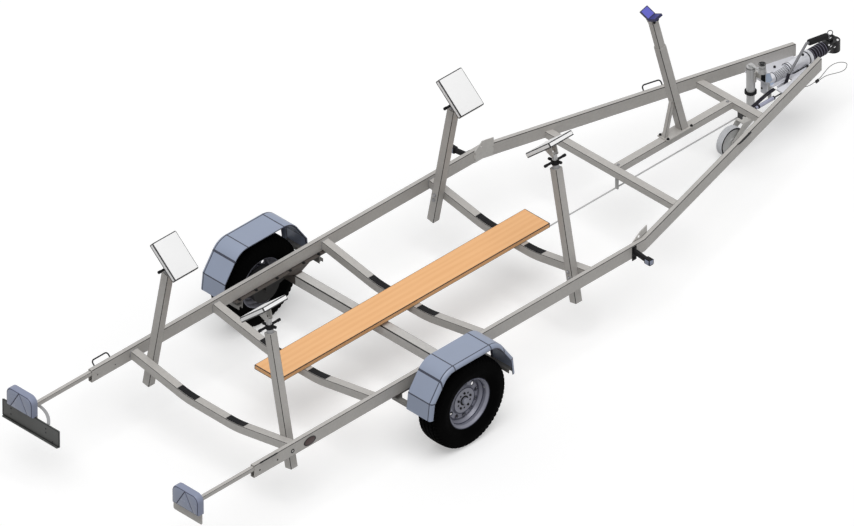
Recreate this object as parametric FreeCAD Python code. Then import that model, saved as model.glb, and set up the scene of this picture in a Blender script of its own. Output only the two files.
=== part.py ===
"""Boat trailer: braked single axle trailer with A-frame drawbar, hull pads and bow post.

Millimetres. +Y points forward to the coupling, +X to the trailer's right, +Z up.
Every piece is drawn with Y = 0 just ahead of the wheels and Z = 0 on the ground. save() then
moves it so that the origin is the middle of the footprint's box, on the ground.
"""
import FreeCAD, Part
import math
import os

from FreeCAD import Vector

# ---------------------------------------------------------------- driving dimensions
SLIDE_GAP = 0.3          # clearance of a sliding or turning fit, on each side
REACH = 6.0              # how far a cutting tool reaches past the piece it cuts

# side rails: rectangular tube, straight at the rear and converging from the kink
RAIL_WIDTH = 35.0
RAIL_HEIGHT = 95.0
RAIL_WALL = 3.0
RAIL_CORNER = 5.0
RAIL_BOTTOM = 456.0
RAIL_OUTER_X = 760.0
RAIL_REAR_Y = -1722.0
KINK_Y = 1835.0
FRONT_END_Y = 4118.0
FRONT_CENTRE_X = 118.2
RAIL_BOLT_YS = (-1673.0, -1514.0)
RAIL_BOLT_RADIUS = 5.5
RAIL_BOLT_Z = 497.0
RAIL_PORT_Y = -1378.0
RAIL_PORT_RADIUS = 10.0

# kink gussets, on the inner faces of the rails
GUSSET_THICKNESS = 6.0
GUSSET_BEHIND = 75.0
GUSSET_AHEAD = 83.0
GUSSET_PEAK = 50.0
GUSSET_PEAK_FLAT = 8.0
GUSSET_HOLE_BACK = 17.0
GUSSET_HOLE_RADIUS = 11.0
GUSSET_HOLE_RISE = 16.0

# bent cross members
MEMBER_TUBE = 60.0
MEMBER_WALL = 4.0
MEMBER_CORNER = 3.5
MEMBER_REAR_YS = (-1375.0, -632.0, 359.0, 1340.0)
MEMBER_MIDDLE_TOP = 437.0
MEMBER_RISE_DEG = 10.5
MEMBER_KNEE_X = 225.0
MEMBER_BEND_RADIUS = 780.0

# front frame: two straight members and the beam between them
FRONT_MEMBER_HEIGHT = 50.0
FRONT_MEMBER_WIDTH = 60.0
FRONT_MEMBER_YS = (2288.0, 3389.0)
FRONT_BEAM_WIDTH = 60.0

# keel plank
PLANK_HALF_WIDTH = 116.0
PLANK_THICKNESS = 35.0
PLANK_REAR_Y = -856.0
PLANK_FRONT_Y = 1612.0
PLANK_EDGE = 4.0

# torsion axle
AXLE_TUBE = 76.0
AXLE_CORNER = 9.5
AXLE_WALL = 6.0
AXLE_Y = 121.0
AXLE_Z = 374.0
AXLE_OVERHANG = 48.0
AXLE_BRACKET_HALF_LENGTH = 105.0
AXLE_BRACKET_THICKNESS = 8.0
MOUNTING_STRIP_REAR_Y = -440.0
MOUNTING_STRIP_FRONT_Y = 400.0
MOUNTING_STRIP_THICKNESS = 8.0
MOUNTING_STRIP_WIDTH = 60.0
SWING_ARM_THICKNESS = 26.0
SWING_ARM_HUB_RADIUS = 34.0
SWING_ARM_AXLE_RADIUS = 46.0
BACKPLATE_THICKNESS = 4.0
BACKPLATE_GAP = 5.0

# road wheels
TYRE_RADIUS = 325.0
TYRE_WIDTH = 195.0
TREAD_HALF_WIDTH = 74.0
TYRE_SHOULDER_DROP = 27.2
TYRE_BULGE_DROP = 4.0
TYRE_WALL_SWELL = 9.0
TYRE_BEAD_RISE = 28.0
TYRE_CROWN = 3.0
TYRE_WALL = 12.0
TYRE_FLANGE_GAP = 2.0
BEAD_RADIUS = 167.0
WHEEL_Y = -36.0
DRUM_TO_WHEEL_CENTRE = 49.0
RIM_FLANGE_RADIUS = 180.0
RIM_HALF_WIDTH = 73.0
RIM_THICKNESS = 4.0
RIM_WELL_RADIUS = 148.0
RIM_BEAD_STEP = 14.0
RIM_SEAT_WIDTH = 32.0
RIM_WELL_SLOPE = 12.0
RIM_WELL_END = 8.0
RIM_SEAT_START = 32.0
DISC_FACE_OFFSET = 25.0
DISC_HUB_RADIUS = 88.0
DISC_DISH = 14.0
DISC_DISH_RUN = 14.0
DISC_LIP = 30.0
DISC_LIP_RUN = 9.0
DISC_PRESS = 0.5
DISC_BORE_RADIUS = 33.0
DISC_VENT_COUNT = 11
DISC_VENT_TURN_DEG = 12.3
DISC_VENT_RADIUS = 13.0
DISC_VENT_CIRCLE = 121.0
WHEEL_BOLT_COUNT = 5
WHEEL_BOLT_TURN_DEG = 18.0
WHEEL_BOLT_CIRCLE = 56.0
WHEEL_BOLT_RADIUS = 7.0
DRUM_RADIUS = 125.0
DRUM_LENGTH = 58.0
DRUM_WALL = 8.0
HUB_RADIUS = 42.0
HUB_CAP_RADIUS = 24.0
HUB_CAP_LENGTH = 24.0
HUB_CAP_EDGE = 5.0
HUB_FLANGE_RADIUS = 82.0
DRUM_TAPER = 14.0
SPINDLE_END_GAP = 2.0
SPINDLE_RADIUS = 18.0

# mudguards
GUARD_INWARD = 111.0
GUARD_OUTWARD = 106.0
GUARD_LIP_RADIUS = 24.0
GUARD_THICKNESS = 4.0
GUARD_TOP_Z = 709.0
GUARD_FLAT_HALF = 164.0
GUARD_SLOPE_DEG = 55.3
GUARD_BEND_RADIUS = 143.5
GUARD_KNEE_Y = 376.0
GUARD_FOOT_Y = 391.0
GUARD_FOOT_Z = 387.0
STAY_WIDTH = 34.0
STAY_HEIGHT = 26.0
STAY_THICKNESS = 3.0

# hull support poles
POLE_TUBE = 60.0
POLE_WALL = 4.0
POLE_CORNER = 5.0
POLE_FOOT_X = 654.0
POLE_FOOT_Z = 272.0
POLE_LEAN_DEG = 10.91
POLE_LENGTH = 984.0
POLE_CAP_THICKNESS = 6.0

# height spindles, star nuts and pads on the poles
PAD_SPINDLE_RADIUS = 19.0
PAD_SPINDLE_DEPTH = 170.0
STAR_HUB_RADIUS = 30.0
STAR_HUB_HEIGHT = 26.0
STAR_RISE = 36.0
STAR_ARM_LENGTH_Y = 96.0
STAR_ARM_LENGTH_X = 60.0
STAR_ARM_RADIUS = 9.0
PAD_PIVOT_RISE = 102.0
PAD_PIVOT_PIN_RADIUS = 7.0
PAD_PIVOT_DROP = 49.7
PAD_SHIFT = 5.1
PAD_TILT_DEG = 41.6
PAD_LENGTH = 215.0
PAD_ACROSS = 285.0
PAD_THICKNESS = 36.0
PAD_CORNER = 8.0
HINGE_PLATE_HALF = 44.0
HINGE_PLATE_THICKNESS = 5.0
HINGE_EAR_THICKNESS = 6.0
HINGE_EAR_RADIUS = 16.0
HINGE_CORNER = 4.0

# bow post
POST_TUBE = 60.0
POST_SINK = 40.0
STRUT_SINK = 20.0
STRUT_CORNER = 2.0
POST_WALL = 4.0
POST_CORNER = 5.0
POST_FOOT_Y = 2951.0
POST_LEAN_DEG = 15.77
POST_LENGTH = 776.0
POST_BASE_REAR_Y = 2770.0
POST_BASE_FRONT_Y = 3016.0
POST_BASE_HALF_WIDTH = 46.0
POST_BASE_THICKNESS = 9.0
MAST_EXPOSED = 240.0
MAST_INSERTED = 320.0
STRUT_FOOT_Y = 2791.0
STRUT_RISE = 248.0
STRUT_SIZE = 28.0
BOW_BRACKET_HEIGHT = 36.0
BOW_BRACKET_LENGTH = 60.0
BOW_WING_DEG = 30.5
BOW_WING_WIDTH = 86.0
BOW_BLOCK_LENGTH = 68.0
BOW_BLOCK_THICKNESS = 16.0

# lamp arms, lamps and number plate holder
ARM_HEIGHT = 30.0
ARM_WALL = 2.5
ARM_CENTRE_Z = 525.0
ARM_INNER_END_Y = -1430.0
ARM_OUTER_END_Y = -2289.0
LAMP_WIDTH = 237.0
LAMP_HEIGHT = 144.0
LAMP_DEPTH = 54.0
LAMP_CENTRE_X = 759.0
LAMP_BOTTOM = 529.0
LAMP_CORNER = 50.0
LAMP_EDGE = 8.0
BRACKET_SHEET = 4.0
BRACKET_BOTTOM = 429.0
BRACKET_INNER_X = 601.0
LEFT_BRACKET_INNER_X = 645.0
BRACKET_OUTER_X = 861.0
BRACKET_CORNER = 14.0
HOLDER_WIDTH = 520.0
HOLDER_BOTTOM = 377.0
HOLDER_TOP = 509.0
HOLDER_OUTER_X = 957.0
HOLDER_THICKNESS = 8.0
HOLDER_LIP = 14.0
HOLDER_CORNER = 8.0

# side marker lamps
MARKER_Y = 1736.0
MARKER_PLATE_WIDTH = 38.0
MARKER_PLATE_THICKNESS = 5.0
MARKER_PLATE_BELOW = 15.0
MARKER_LAMP_X = 896.0
MARKER_LAMP_Z = 497.0
MARKER_LAMP_LENGTH = 46.0
MARKER_LAMP_DEPTH = 42.0
MARKER_LAMP_HEIGHT = 44.0
MARKER_LAMP_CORNER = 9.0
MARKER_ARM_DEPTH = 26.0
MARKER_ARM_HEIGHT = 34.0
MARKER_ARM_CORNER = 6.0
MARKER_ARM_RISE = 14.0
MARKER_JOIN = 4.0

# lashing bows on the outer top edges of the rails
BOW_ROD_RADIUS = 5.0
BOW_SPAN = 140.0
BOW_STAND = 36.0
BOW_BEND_RADIUS = 20.0
BOW_YS = (-1600.0, 3100.0)

# overrun housing, drawbar tube and coupling
COUPLING_Z = 492.0
HOUSING_REAR_Y = 3745.0
HOUSING_FRONT_Y = 4137.0
HOUSING_RADIUS = 43.0
HOUSING_BASE_THICKNESS = 10.0
HOUSING_BASE_FRONT_Y = 4095.0
HOUSING_RIB_COUNT = 12
HOUSING_RIB_REAR_Y = 3805.0
HOUSING_RIB_FRONT_Y = 3912.0
HOUSING_RIB_HEIGHT = 4.0
HOUSING_RIB_WIDTH = 5.0
HOUSING_RIB_CORNER = 1.0
HOUSING_REAR_RADIUS = 32.0
HOUSING_STEP_Y = 3925.0
HOUSING_RING_HEIGHT = 6.0
CHEEK_XS = (-10.0, 30.0)
CHEEK_OUTLINE = (
    # y, z of the corners of the rear bracket's side
    (3700.0, 585.0), (3741.0, 570.0), (3779.0, 471.0), (3779.0, 458.0), (3747.0, 458.0),
    (3735.0, 495.0), (3700.0, 511.0),
)
REAR_LUG_XS = (-58.0, 0.0)
REAR_LUG_LOW_Z = 372.0
REAR_LUG_THICKNESS = 8.0
HOUSING_RING_LENGTH = 24.0
DRAWBAR_TUBE_RADIUS = 30.0
BELLOWS_RADIUS = 46.0
BELLOWS_VALLEY_RADIUS = 38.0
BELLOWS_FOLDS = 6
BELLOWS_FRONT_Y = 4275.0
HEAD_REAR_Y = 4277.0
HEAD_LENGTH = 136.0
HEAD_HALF_WIDTH = 42.0
HEAD_HEIGHT = 78.0
BALL_RADIUS = 25.0
BALL_Y = 4367.0
BALL_Z = 450.0
SOCKET_GAP = 0.4
SOCKET_MOUTH_DROP = 17.0
SOCKET_ROOF = 8.0
HEAD_COLLAR_LENGTH = 34.0
HEAD_NECK_INSET = 8.0
CATCH_RISE = 12.0
CATCH_WIDTH = 30.0
CATCH_THICKNESS = 14.0
CATCH_CORNER = 4.0
CATCH_POST_BACK = 20.0
CATCH_POST_RADIUS = 12.0
SOCKET_DEPTH = 40.0

# handbrake lever
LEVER_X = 66.0
LEVER_PIVOT_Y = 3838.0
LEVER_PIVOT_Z = 407.0
LEVER_KNEE = (3877.0, 503.0)
LEVER_ELBOW = (4045.0, 673.0)
LEVER_TIP = (4241.0, 638.0)
LEVER_ROD_RADIUS = 9.0
LEVER_GRIP_RADIUS = 20.0
LEVER_HUB_RADIUS = 22.0
LEVER_HUB_LENGTH = 26.0
LEVER_PIN_RADIUS = 8.0
LEVER_PIN_HEAD = 5.0
LEVER_SLOT_GAP = 6.0
LEVER_LUG_HALF = 52.0
LEVER_LUG_THICKNESS = 10.0
LEVER_GRIP_START = 24.0

# gas spring and brake rod
SPRING_X = 100.0
SPRING_Z = 423.0
SPRING_REAR_Y = 3560.0
SPRING_LENGTH = 150.0
SPRING_RADIUS = 13.0
SPRING_ROD_RADIUS = 5.0
SPRING_ROD_LENGTH = 90.0
BRAKE_ROD_X = 30.0
BRAKE_ROD_Z = 364.0
BRAKE_ROD_RADIUS = 5.0
BRAKE_ROD_REAR_Y = 159.0
BRAKE_BEAM_HALF = 70.0
HANGER_WIDTH = 24.0
HANGER_SHEET = 10.0
PULL_BAR_XS = (62.0, 76.0)
PULL_BAR_RADIUS = 5.0
PULL_BAR_POINTS = (
    # y, z of the twin bars' bends
    (3429.0, 396.0), (3549.0, 418.0), (3660.0, 452.0), (3745.0, 460.0),
)

# jockey wheel
JOCKEY_X = -74.0
JOCKEY_Y = 3668.0
JOCKEY_TUBE_RADIUS = 30.0
JOCKEY_TUBE_WALL = 2.5
JOCKEY_TUBE_BOTTOM = 400.0
JOCKEY_TUBE_TOP = 603.0
JOCKEY_RING_RADIUS = 40.0
JOCKEY_RING_HEIGHT = 14.0
JOCKEY_LEG_BOTTOM = 216.0
JOCKEY_LEG_INSERTED = 60.0
JOCKEY_LEG_WALL = 3.0
JOCKEY_WHEEL_RADIUS = 106.0
JOCKEY_WHEEL_WIDTH = 50.0
JOCKEY_TRAIL = 190.0
FORK_PLATE = 5.0
FORK_GAP = 6.0
FORK_TOP_THICKNESS = 8.0
FORK_PLUG_LENGTH = 60.0
FORK_AXLE_BOSS = 18.0
FORK_AXLE_END = 6.0
FORK_BRIDGE_BACK = 100.0
JOCKEY_TREAD_EDGE = 9.0
JOCKEY_TYRE_DEPTH = 20.0
JOCKEY_AXLE_RADIUS = 8.0
CRANK_REACH = 104.0
CRANK_ARM_RADIUS = 8.0
CRANK_GRIP_RADIUS = 24.0
CRANK_GRIP_HEIGHT = 56.0
CRANK_HUB_RADIUS = 16.0
CRANK_FLANGE_HEIGHT = 22.0
CRANK_FLANGE_STEP = 4.0
JOCKEY_CAP_RISE = 5.0
CLAMP_WALL = 8.0
CLAMP_BOTTOM = 492.0
CLAMP_TOP = 572.0
CLAMP_ARM_THICKNESS = 14.0
CLAMP_ARM_ZS = (515.0, 557.0)

# breakaway cable
CABLE_RADIUS = 2.0
CABLE_EYE_LENGTH = 30.0
CABLE_EYE_RADIUS = 6.0
FERRULE_START = 10.0
FERRULE_LENGTH = 24.0
FERRULE_SPACING = 11.0
FERRULE_RADIUS = 7.0
FERRULE_BORE_GAP = 1.0
FERRULE_RUN_COUNT = 4
CABLE_POINTS = (
    # x, y, z of each bend: from the eye under the housing through the ferrule and round the hand loop
    (118.0, 3925.0, 436.0),
    (118.0, 3948.0, 403.0),
    (117.0, 3985.0, 380.0),
    (116.0, 4030.0, 370.0),
    (115.0, 4076.0, 373.0),
    (115.0, 4122.0, 380.0),
    (114.0, 4162.0, 402.0),
    (112.0, 4204.0, 423.0),
    (110.0, 4252.0, 428.0),
    (109.0, 4300.0, 417.0),
    (108.0, 4344.0, 398.0),
    (107.0, 4376.0, 376.0),
    (106.0, 4389.0, 359.0),
    (106.0, 4386.0, 338.0),
    (107.0, 4369.0, 325.0),
    (108.0, 4332.0, 327.0),
    (109.0, 4284.0, 340.0),
    (111.0, 4236.0, 356.0),
    (113.0, 4190.0, 369.0),
    (115.0, 4149.0, 372.7),
)

# ---------------------------------------------------------------- derived places
RAIL_TOP = RAIL_BOTTOM + RAIL_HEIGHT
RAIL_INNER_X = RAIL_OUTER_X - RAIL_WIDTH
RAIL_CENTRE_X = RAIL_OUTER_X - RAIL_WIDTH / 2
RAIL_MIDDLE_Z = RAIL_BOTTOM + RAIL_HEIGHT / 2
HUB_Z = TYRE_RADIUS
AXLE_HALF_LENGTH = RAIL_OUTER_X + AXLE_OVERHANG
DRUM_START_X = AXLE_HALF_LENGTH + SWING_ARM_THICKNESS + BACKPLATE_THICKNESS + BACKPLATE_GAP
WHEEL_CENTRE_X = DRUM_START_X + DRUM_LENGTH + DRUM_TO_WHEEL_CENTRE
WHEEL_FACE_X = WHEEL_CENTRE_X + DISC_FACE_OFFSET - RIM_THICKNESS
GUARD_INNER_X = WHEEL_CENTRE_X - GUARD_INWARD
GUARD_OUTER_X = WHEEL_CENTRE_X + GUARD_OUTWARD
OVERALL = FRONT_END_Y - RAIL_REAR_Y
TAPER = (RAIL_CENTRE_X - FRONT_CENTRE_X) / (FRONT_END_Y - KINK_Y)
TAPER_ANGLE = math.atan(TAPER)
MEMBER_AXIS_Z = MEMBER_MIDDLE_TOP - MEMBER_TUBE / 2
FRONT_MEMBER_TOP = RAIL_BOTTOM + FRONT_MEMBER_HEIGHT
POLE_YS = {
    "rear": MEMBER_REAR_YS[0] + MEMBER_TUBE + POLE_TUBE / 2,
    "front": MEMBER_REAR_YS[-1] - POLE_TUBE / 2,
}
SIDES = {"left": -1, "right": 1}
LAMP_REAR_Y = ARM_OUTER_END_Y - BRACKET_SHEET - LAMP_DEPTH
HEAD_FRONT_Y = HEAD_REAR_Y + HEAD_LENGTH
MIDDLE_Y = (LAMP_REAR_Y + HEAD_FRONT_Y) / 2

X_AXIS = Vector(1, 0, 0)
Y_AXIS = Vector(0, 1, 0)
Z_AXIS = Vector(0, 0, 1)


# ---------------------------------------------------------------- shared helpers
def block(x_range, y_range, z_range):
    """Box between two values on each axis."""
    low = Vector(min(x_range), min(y_range), min(z_range))
    high = Vector(max(x_range), max(y_range), max(z_range))
    size = high - low
    return Part.makeBox(size.x, size.y, size.z, low)


def rod(start, end, radius):
    """Round bar between two points."""
    axis = end - start
    return Part.makeCylinder(radius, axis.Length, start, axis)


def pipe(start, end, radius, wall):
    """Round tube, open at both ends."""
    run = (end - start).normalize() * REACH
    return rod(start, end, radius).cut(rod(start - run, end + run, radius - wall))


def joined(shapes):
    """One solid from touching ones."""
    return shapes[0].multiFuse(shapes[1:]).removeSplitter()


def prism(points, direction):
    """Straight prism over a flat outline."""
    outline = Part.makePolygon(list(points) + [points[0]])
    return Part.Face(outline).extrude(direction)


def rounded_outline(width, height, corner):
    """Closed wire of a rounded rectangle in XY, centred on the origin."""
    w = width / 2
    h = height / 2
    plain = Part.makeBox(width, height, 1.0, Vector(-w, -h, 0))
    upright = [edge for edge in plain.Edges if abs(edge.tangentAt(0).z) > 0.9]
    solid = plain.makeFillet(corner, upright)
    bottom = min(solid.Faces, key=lambda face: face.CenterOfMass.z)
    return bottom.OuterWire


def box_bar(start, end, across, width, height, corner):
    """Rounded rectangular bar; width lies along the vector across."""
    along = (end - start).normalize()
    upward = along.cross(across).normalize()
    bar = Part.Face(rounded_outline(width, height, corner)).extrude(Z_AXIS * (end - start).Length)
    turn = FreeCAD.Matrix(
        across.x, upward.x, along.x, start.x,
        across.y, upward.y, along.y, start.y,
        across.z, upward.z, along.z, start.z,
        0, 0, 0, 1)
    return placed(bar, turn)


def placed(shape, matrix):
    """Copy of a shape moved by a rigid matrix."""
    copy = shape.copy()
    copy.Placement = FreeCAD.Placement(matrix)
    return copy


def box_tube(start, end, across, width, height, corner, wall):
    """Hollow rectangular tube, open at both ends."""
    run = (end - start).normalize() * REACH
    outer = box_bar(start, end, across, width, height, corner)
    inner_corner = max(corner - wall, 0.8)
    hollow = box_bar(start - run, end + run, across, width - 2 * wall, height - 2 * wall, inner_corner)
    return outer.cut(hollow)


def revolved(profile, centre, axis):
    """Full turn of a closed (radius, along) outline about an axis through centre."""
    side = Z_AXIS if abs(axis.z) < 0.9 else X_AXIS
    points = [centre + side * radius + axis * along for radius, along in profile]
    outline = Part.makePolygon(points + [points[0]])
    return Part.Face(outline).revolve(centre, axis, 360)


def ring_of(count, radius, first_deg):
    """Angles' cosine and sine times radius, evenly spaced from the first."""
    for index in range(count):
        angle = math.radians(first_deg) + 2 * math.pi * index / count
        yield radius * math.cos(angle), radius * math.sin(angle)


def opposite(point):
    """The same point on the trailer's other side."""
    return Vector(-point.x, point.y, point.z)


def mirrored(shape):
    """The same piece on the trailer's left."""
    return shape.mirror(Vector(0, 0, 0), X_AXIS)


def save(name, shape):
    """Move to the part's origin, check and write one STEP file."""
    moved = shape.copy()
    moved.translate(Vector(0, -MIDDLE_Y, 0))
    if not moved.isValid():
        print("not valid:", name)
    moved.exportStep(os.path.join("parts", name + ".step"))
    print(name, len(moved.Solids), round(moved.Volume / 1000.0, 1))


def rail_inner_face_x(y):
    """X of the right rail's inner face at a place ahead of the kink."""
    return FRONT_CENTRE_X + (FRONT_END_Y - y) * TAPER - RAIL_WIDTH / 2 / math.cos(TAPER_ANGLE)


# ---------------------------------------------------------------- frame
def rail():
    """Right side rail with its kink, bolt holes and open rear end."""
    far = RAIL_WIDTH
    rear = Vector(RAIL_CENTRE_X, RAIL_REAR_Y, RAIL_MIDDLE_Z)
    kink = Vector(RAIL_CENTRE_X, KINK_Y, RAIL_MIDDLE_Z)
    slant = Vector(-math.sin(TAPER_ANGLE), math.cos(TAPER_ANGLE), 0)
    length = (FRONT_END_Y - KINK_Y) / math.cos(TAPER_ANGLE)
    front = kink + slant * length
    size = (RAIL_WIDTH, RAIL_HEIGHT, RAIL_CORNER, RAIL_WALL)
    straight = box_tube(rear, kink + Y_AXIS * far, X_AXIS, *size)
    level = Vector(slant.y, -slant.x, 0)
    slanted = box_tube(kink - slant * far, front + slant * far, level, *size)
    bisector = Vector(math.cos(TAPER_ANGLE / 2), math.sin(TAPER_ANGLE / 2), 0)
    normal = Vector(-bisector.y, bisector.x, 0)
    ahead = half_space(kink, normal, OVERALL)
    square_end = block((-OVERALL, OVERALL), (FRONT_END_Y, FRONT_END_Y + OVERALL), (0, OVERALL))
    body = joined([straight.cut(ahead), slanted.common(ahead).cut(square_end)])
    outer = Vector(RAIL_OUTER_X + REACH, 0, RAIL_BOLT_Z)
    inner = Vector(RAIL_INNER_X - REACH, 0, RAIL_BOLT_Z)
    holes = [rod(inner + Y_AXIS * y, outer + Y_AXIS * y, RAIL_BOLT_RADIUS) for y in RAIL_BOLT_YS]
    holes.append(rod(inner + Y_AXIS * RAIL_PORT_Y, outer + Y_AXIS * RAIL_PORT_Y, RAIL_PORT_RADIUS))
    return body.cut(holes[0].multiFuse(holes[1:]))


def half_space(point, normal, size):
    """Big block whose one face passes through a point, on the side that normal points to."""
    across = normal.cross(Z_AXIS).normalize()
    corner = point - across * size - Z_AXIS * size
    face = Part.Face(Part.makePolygon([
        corner, corner + across * 2 * size, corner + across * 2 * size + Z_AXIS * 2 * size,
        corner + Z_AXIS * 2 * size, corner]))
    return face.extrude(normal * size)


def kink_gusset():
    """Folded plate on the right rail's inner face, with the eye above the kink."""
    turn = math.tan(TAPER_ANGLE / 2)
    kink_y = KINK_Y - RAIL_WIDTH / 2 * turn
    inner_kink = Vector(RAIL_INNER_X, kink_y, 0)
    slant = Vector(-math.sin(TAPER_ANGLE), math.cos(TAPER_ANGLE), 0)
    rear = inner_kink - Y_AXIS * GUSSET_BEHIND
    front = inner_kink + slant * GUSSET_AHEAD
    inward_rear = Vector(-GUSSET_THICKNESS, 0, 0)
    inward_front = Vector(-slant.y, slant.x, 0) * GUSSET_THICKNESS
    inside = inner_kink + Vector(-GUSSET_THICKNESS, -GUSSET_THICKNESS * turn, 0)
    bottom = RAIL_BOTTOM + RAIL_CORNER
    top = RAIL_TOP - RAIL_CORNER
    peak = RAIL_TOP + GUSSET_PEAK
    plan = [rear, inner_kink, front, front + inward_front, inside, rear + inward_rear]
    plate = prism([p + Z_AXIS * bottom for p in plan], Z_AXIS * (peak - bottom))
    flat = GUSSET_PEAK_FLAT / 2
    slopes = [(rear.y - 1, top), (kink_y - flat, peak), (kink_y + flat, peak), (front.y + 1, top),
              (front.y + 1, peak + REACH), (rear.y - 1, peak + REACH)]
    above = prism([Vector(RAIL_INNER_X - REACH, y, z) for y, z in slopes], X_AXIS * 2 * REACH)
    wave = RAIL_HEIGHT / 5
    bites = []
    for z in (bottom + wave, top - wave):
        for end in (rear, front):
            middle = end + Z_AXIS * z
            bites.append(rod(middle - X_AXIS * RAIL_WIDTH, middle + X_AXIS * RAIL_WIDTH, wave / 2))
    plate = plate.cut(bites[0].multiFuse(bites[1:]))
    hole = Vector(RAIL_INNER_X, kink_y - GUSSET_HOLE_BACK, RAIL_TOP + GUSSET_HOLE_RISE)
    bore = rod(hole - X_AXIS * RAIL_WIDTH, hole + X_AXIS * RAIL_WIDTH, GUSSET_HOLE_RADIUS)
    return plate.cut(above).cut(bore)


def cross_member(rear_y):
    """Bent square tube between the rails, lower in the middle for the keel."""
    y = rear_y + MEMBER_TUBE / 2
    rise = math.radians(MEMBER_RISE_DEG)
    end_x = RAIL_OUTER_X + MEMBER_TUBE
    setback = MEMBER_BEND_RADIUS * math.tan(rise / 2)
    knee_end_z = MEMBER_AXIS_Z + (end_x - MEMBER_KNEE_X) * math.tan(rise)
    a = Vector(-end_x, y, knee_end_z)
    b = Vector(-MEMBER_KNEE_X - setback * math.cos(rise), y, MEMBER_AXIS_Z + setback * math.sin(rise))
    c = Vector(-MEMBER_KNEE_X + setback, y, MEMBER_AXIS_Z)
    centre_z = MEMBER_AXIS_Z + MEMBER_BEND_RADIUS
    mid_angle = rise / 2
    arc_mid = Vector(c.x - MEMBER_BEND_RADIUS * math.sin(mid_angle), y,
                     centre_z - MEMBER_BEND_RADIUS * math.cos(mid_angle))
    edges = [
        Part.LineSegment(a, b).toShape(),
        Part.Arc(b, arc_mid, c).toShape(),
        Part.LineSegment(c, opposite(c)).toShape(),
        Part.Arc(opposite(c), opposite(arc_mid), opposite(b)).toShape(),
        Part.LineSegment(opposite(b), opposite(a)).toShape(),
    ]
    path = Part.Wire(edges)
    along = (b - a).normalize()
    shapes = []
    for shrink in (0.0, MEMBER_WALL):
        size = MEMBER_TUBE - 2 * shrink
        outline = rounded_outline(size, size, MEMBER_CORNER if not shrink else 1.0)
        side = Y_AXIS
        upward = along.cross(side).normalize()
        turn = FreeCAD.Matrix(
            side.x, upward.x, along.x, a.x,
            side.y, upward.y, along.y, a.y,
            side.z, upward.z, along.z, a.z,
            0, 0, 0, 1)
        shapes.append(path.makePipeShell([placed(outline, turn)], True, False))
    tube = shapes[0].cut(shapes[1])
    between = block((-RAIL_INNER_X, RAIL_INNER_X), (y - MEMBER_TUBE, y + MEMBER_TUBE), (0, OVERALL))
    return tube.common(between)


def front_frame():
    """Two straight members between the converging rails and the beam that joins them."""
    pieces = []
    low = RAIL_BOTTOM
    top = FRONT_MEMBER_TOP
    mid_z = (low + top) / 2
    for rear_y in FRONT_MEMBER_YS:
        y = rear_y + FRONT_MEMBER_WIDTH / 2
        reach = rail_inner_face_x(rear_y) + 20
        tube = box_tube(Vector(-reach, y, mid_z), Vector(reach, y, mid_z), Y_AXIS,
                        FRONT_MEMBER_WIDTH, FRONT_MEMBER_HEIGHT, MEMBER_CORNER, MEMBER_WALL)
        corners = []
        for side, yy in ((-1, rear_y - 10), (1, rear_y - 10),
                         (1, rear_y + FRONT_MEMBER_WIDTH + 10), (-1, rear_y + FRONT_MEMBER_WIDTH + 10)):
            corners.append(Vector(side * rail_inner_face_x(yy), yy, low - 10))
        pieces.append(tube.common(prism(corners, Z_AXIS * (top - low + 20))))
    start = FRONT_MEMBER_YS[0] + FRONT_MEMBER_WIDTH
    pieces.append(box_tube(Vector(0, start, mid_z), Vector(0, FRONT_MEMBER_YS[1], mid_z), X_AXIS,
                           FRONT_BEAM_WIDTH, FRONT_MEMBER_HEIGHT, MEMBER_CORNER, MEMBER_WALL))
    return joined(pieces)


def keel_plank():
    """Wooden plank on the middles of the cross members."""
    bottom = MEMBER_MIDDLE_TOP
    plank = block((-PLANK_HALF_WIDTH, PLANK_HALF_WIDTH), (PLANK_REAR_Y, PLANK_FRONT_Y),
                  (bottom, bottom + PLANK_THICKNESS))
    long_edges = [edge for edge in plank.Edges if abs(edge.tangentAt(0).y) > 0.9]
    return plank.makeFillet(PLANK_EDGE, long_edges)


# ---------------------------------------------------------------- axle and wheels
def torsion_axle():
    """Square axle tube with its end brackets and the strips bolted under the rails."""
    tube = box_tube(Vector(-AXLE_HALF_LENGTH, AXLE_Y, AXLE_Z), Vector(AXLE_HALF_LENGTH, AXLE_Y, AXLE_Z),
                    Y_AXIS, AXLE_TUBE, AXLE_TUBE, AXLE_CORNER, AXLE_WALL)
    pieces = [tube]
    strip_top = RAIL_BOTTOM
    strip_bottom = strip_top - MOUNTING_STRIP_THICKNESS
    outer_x = RAIL_OUTER_X
    inner_x = RAIL_OUTER_X - MOUNTING_STRIP_WIDTH
    half = AXLE_BRACKET_HALF_LENGTH
    foot_half = AXLE_TUBE / 2 - AXLE_CORNER
    seat_z = AXLE_Z + AXLE_TUBE / 2
    for side in SIDES.values():
        pieces.append(block((side * inner_x, side * outer_x), (MOUNTING_STRIP_REAR_Y, MOUNTING_STRIP_FRONT_Y),
                            (strip_bottom, strip_top)))
        for x in (inner_x, outer_x - AXLE_BRACKET_THICKNESS):
            cheek = prism([
                Vector(x, AXLE_Y - half, strip_bottom), Vector(x, AXLE_Y + half, strip_bottom),
                Vector(x, AXLE_Y + foot_half, seat_z - 1), Vector(x, AXLE_Y - foot_half, seat_z - 1),
            ], X_AXIS * AXLE_BRACKET_THICKNESS)
            pieces.append(cheek if side > 0 else mirrored(cheek))
    return joined(pieces)


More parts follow.
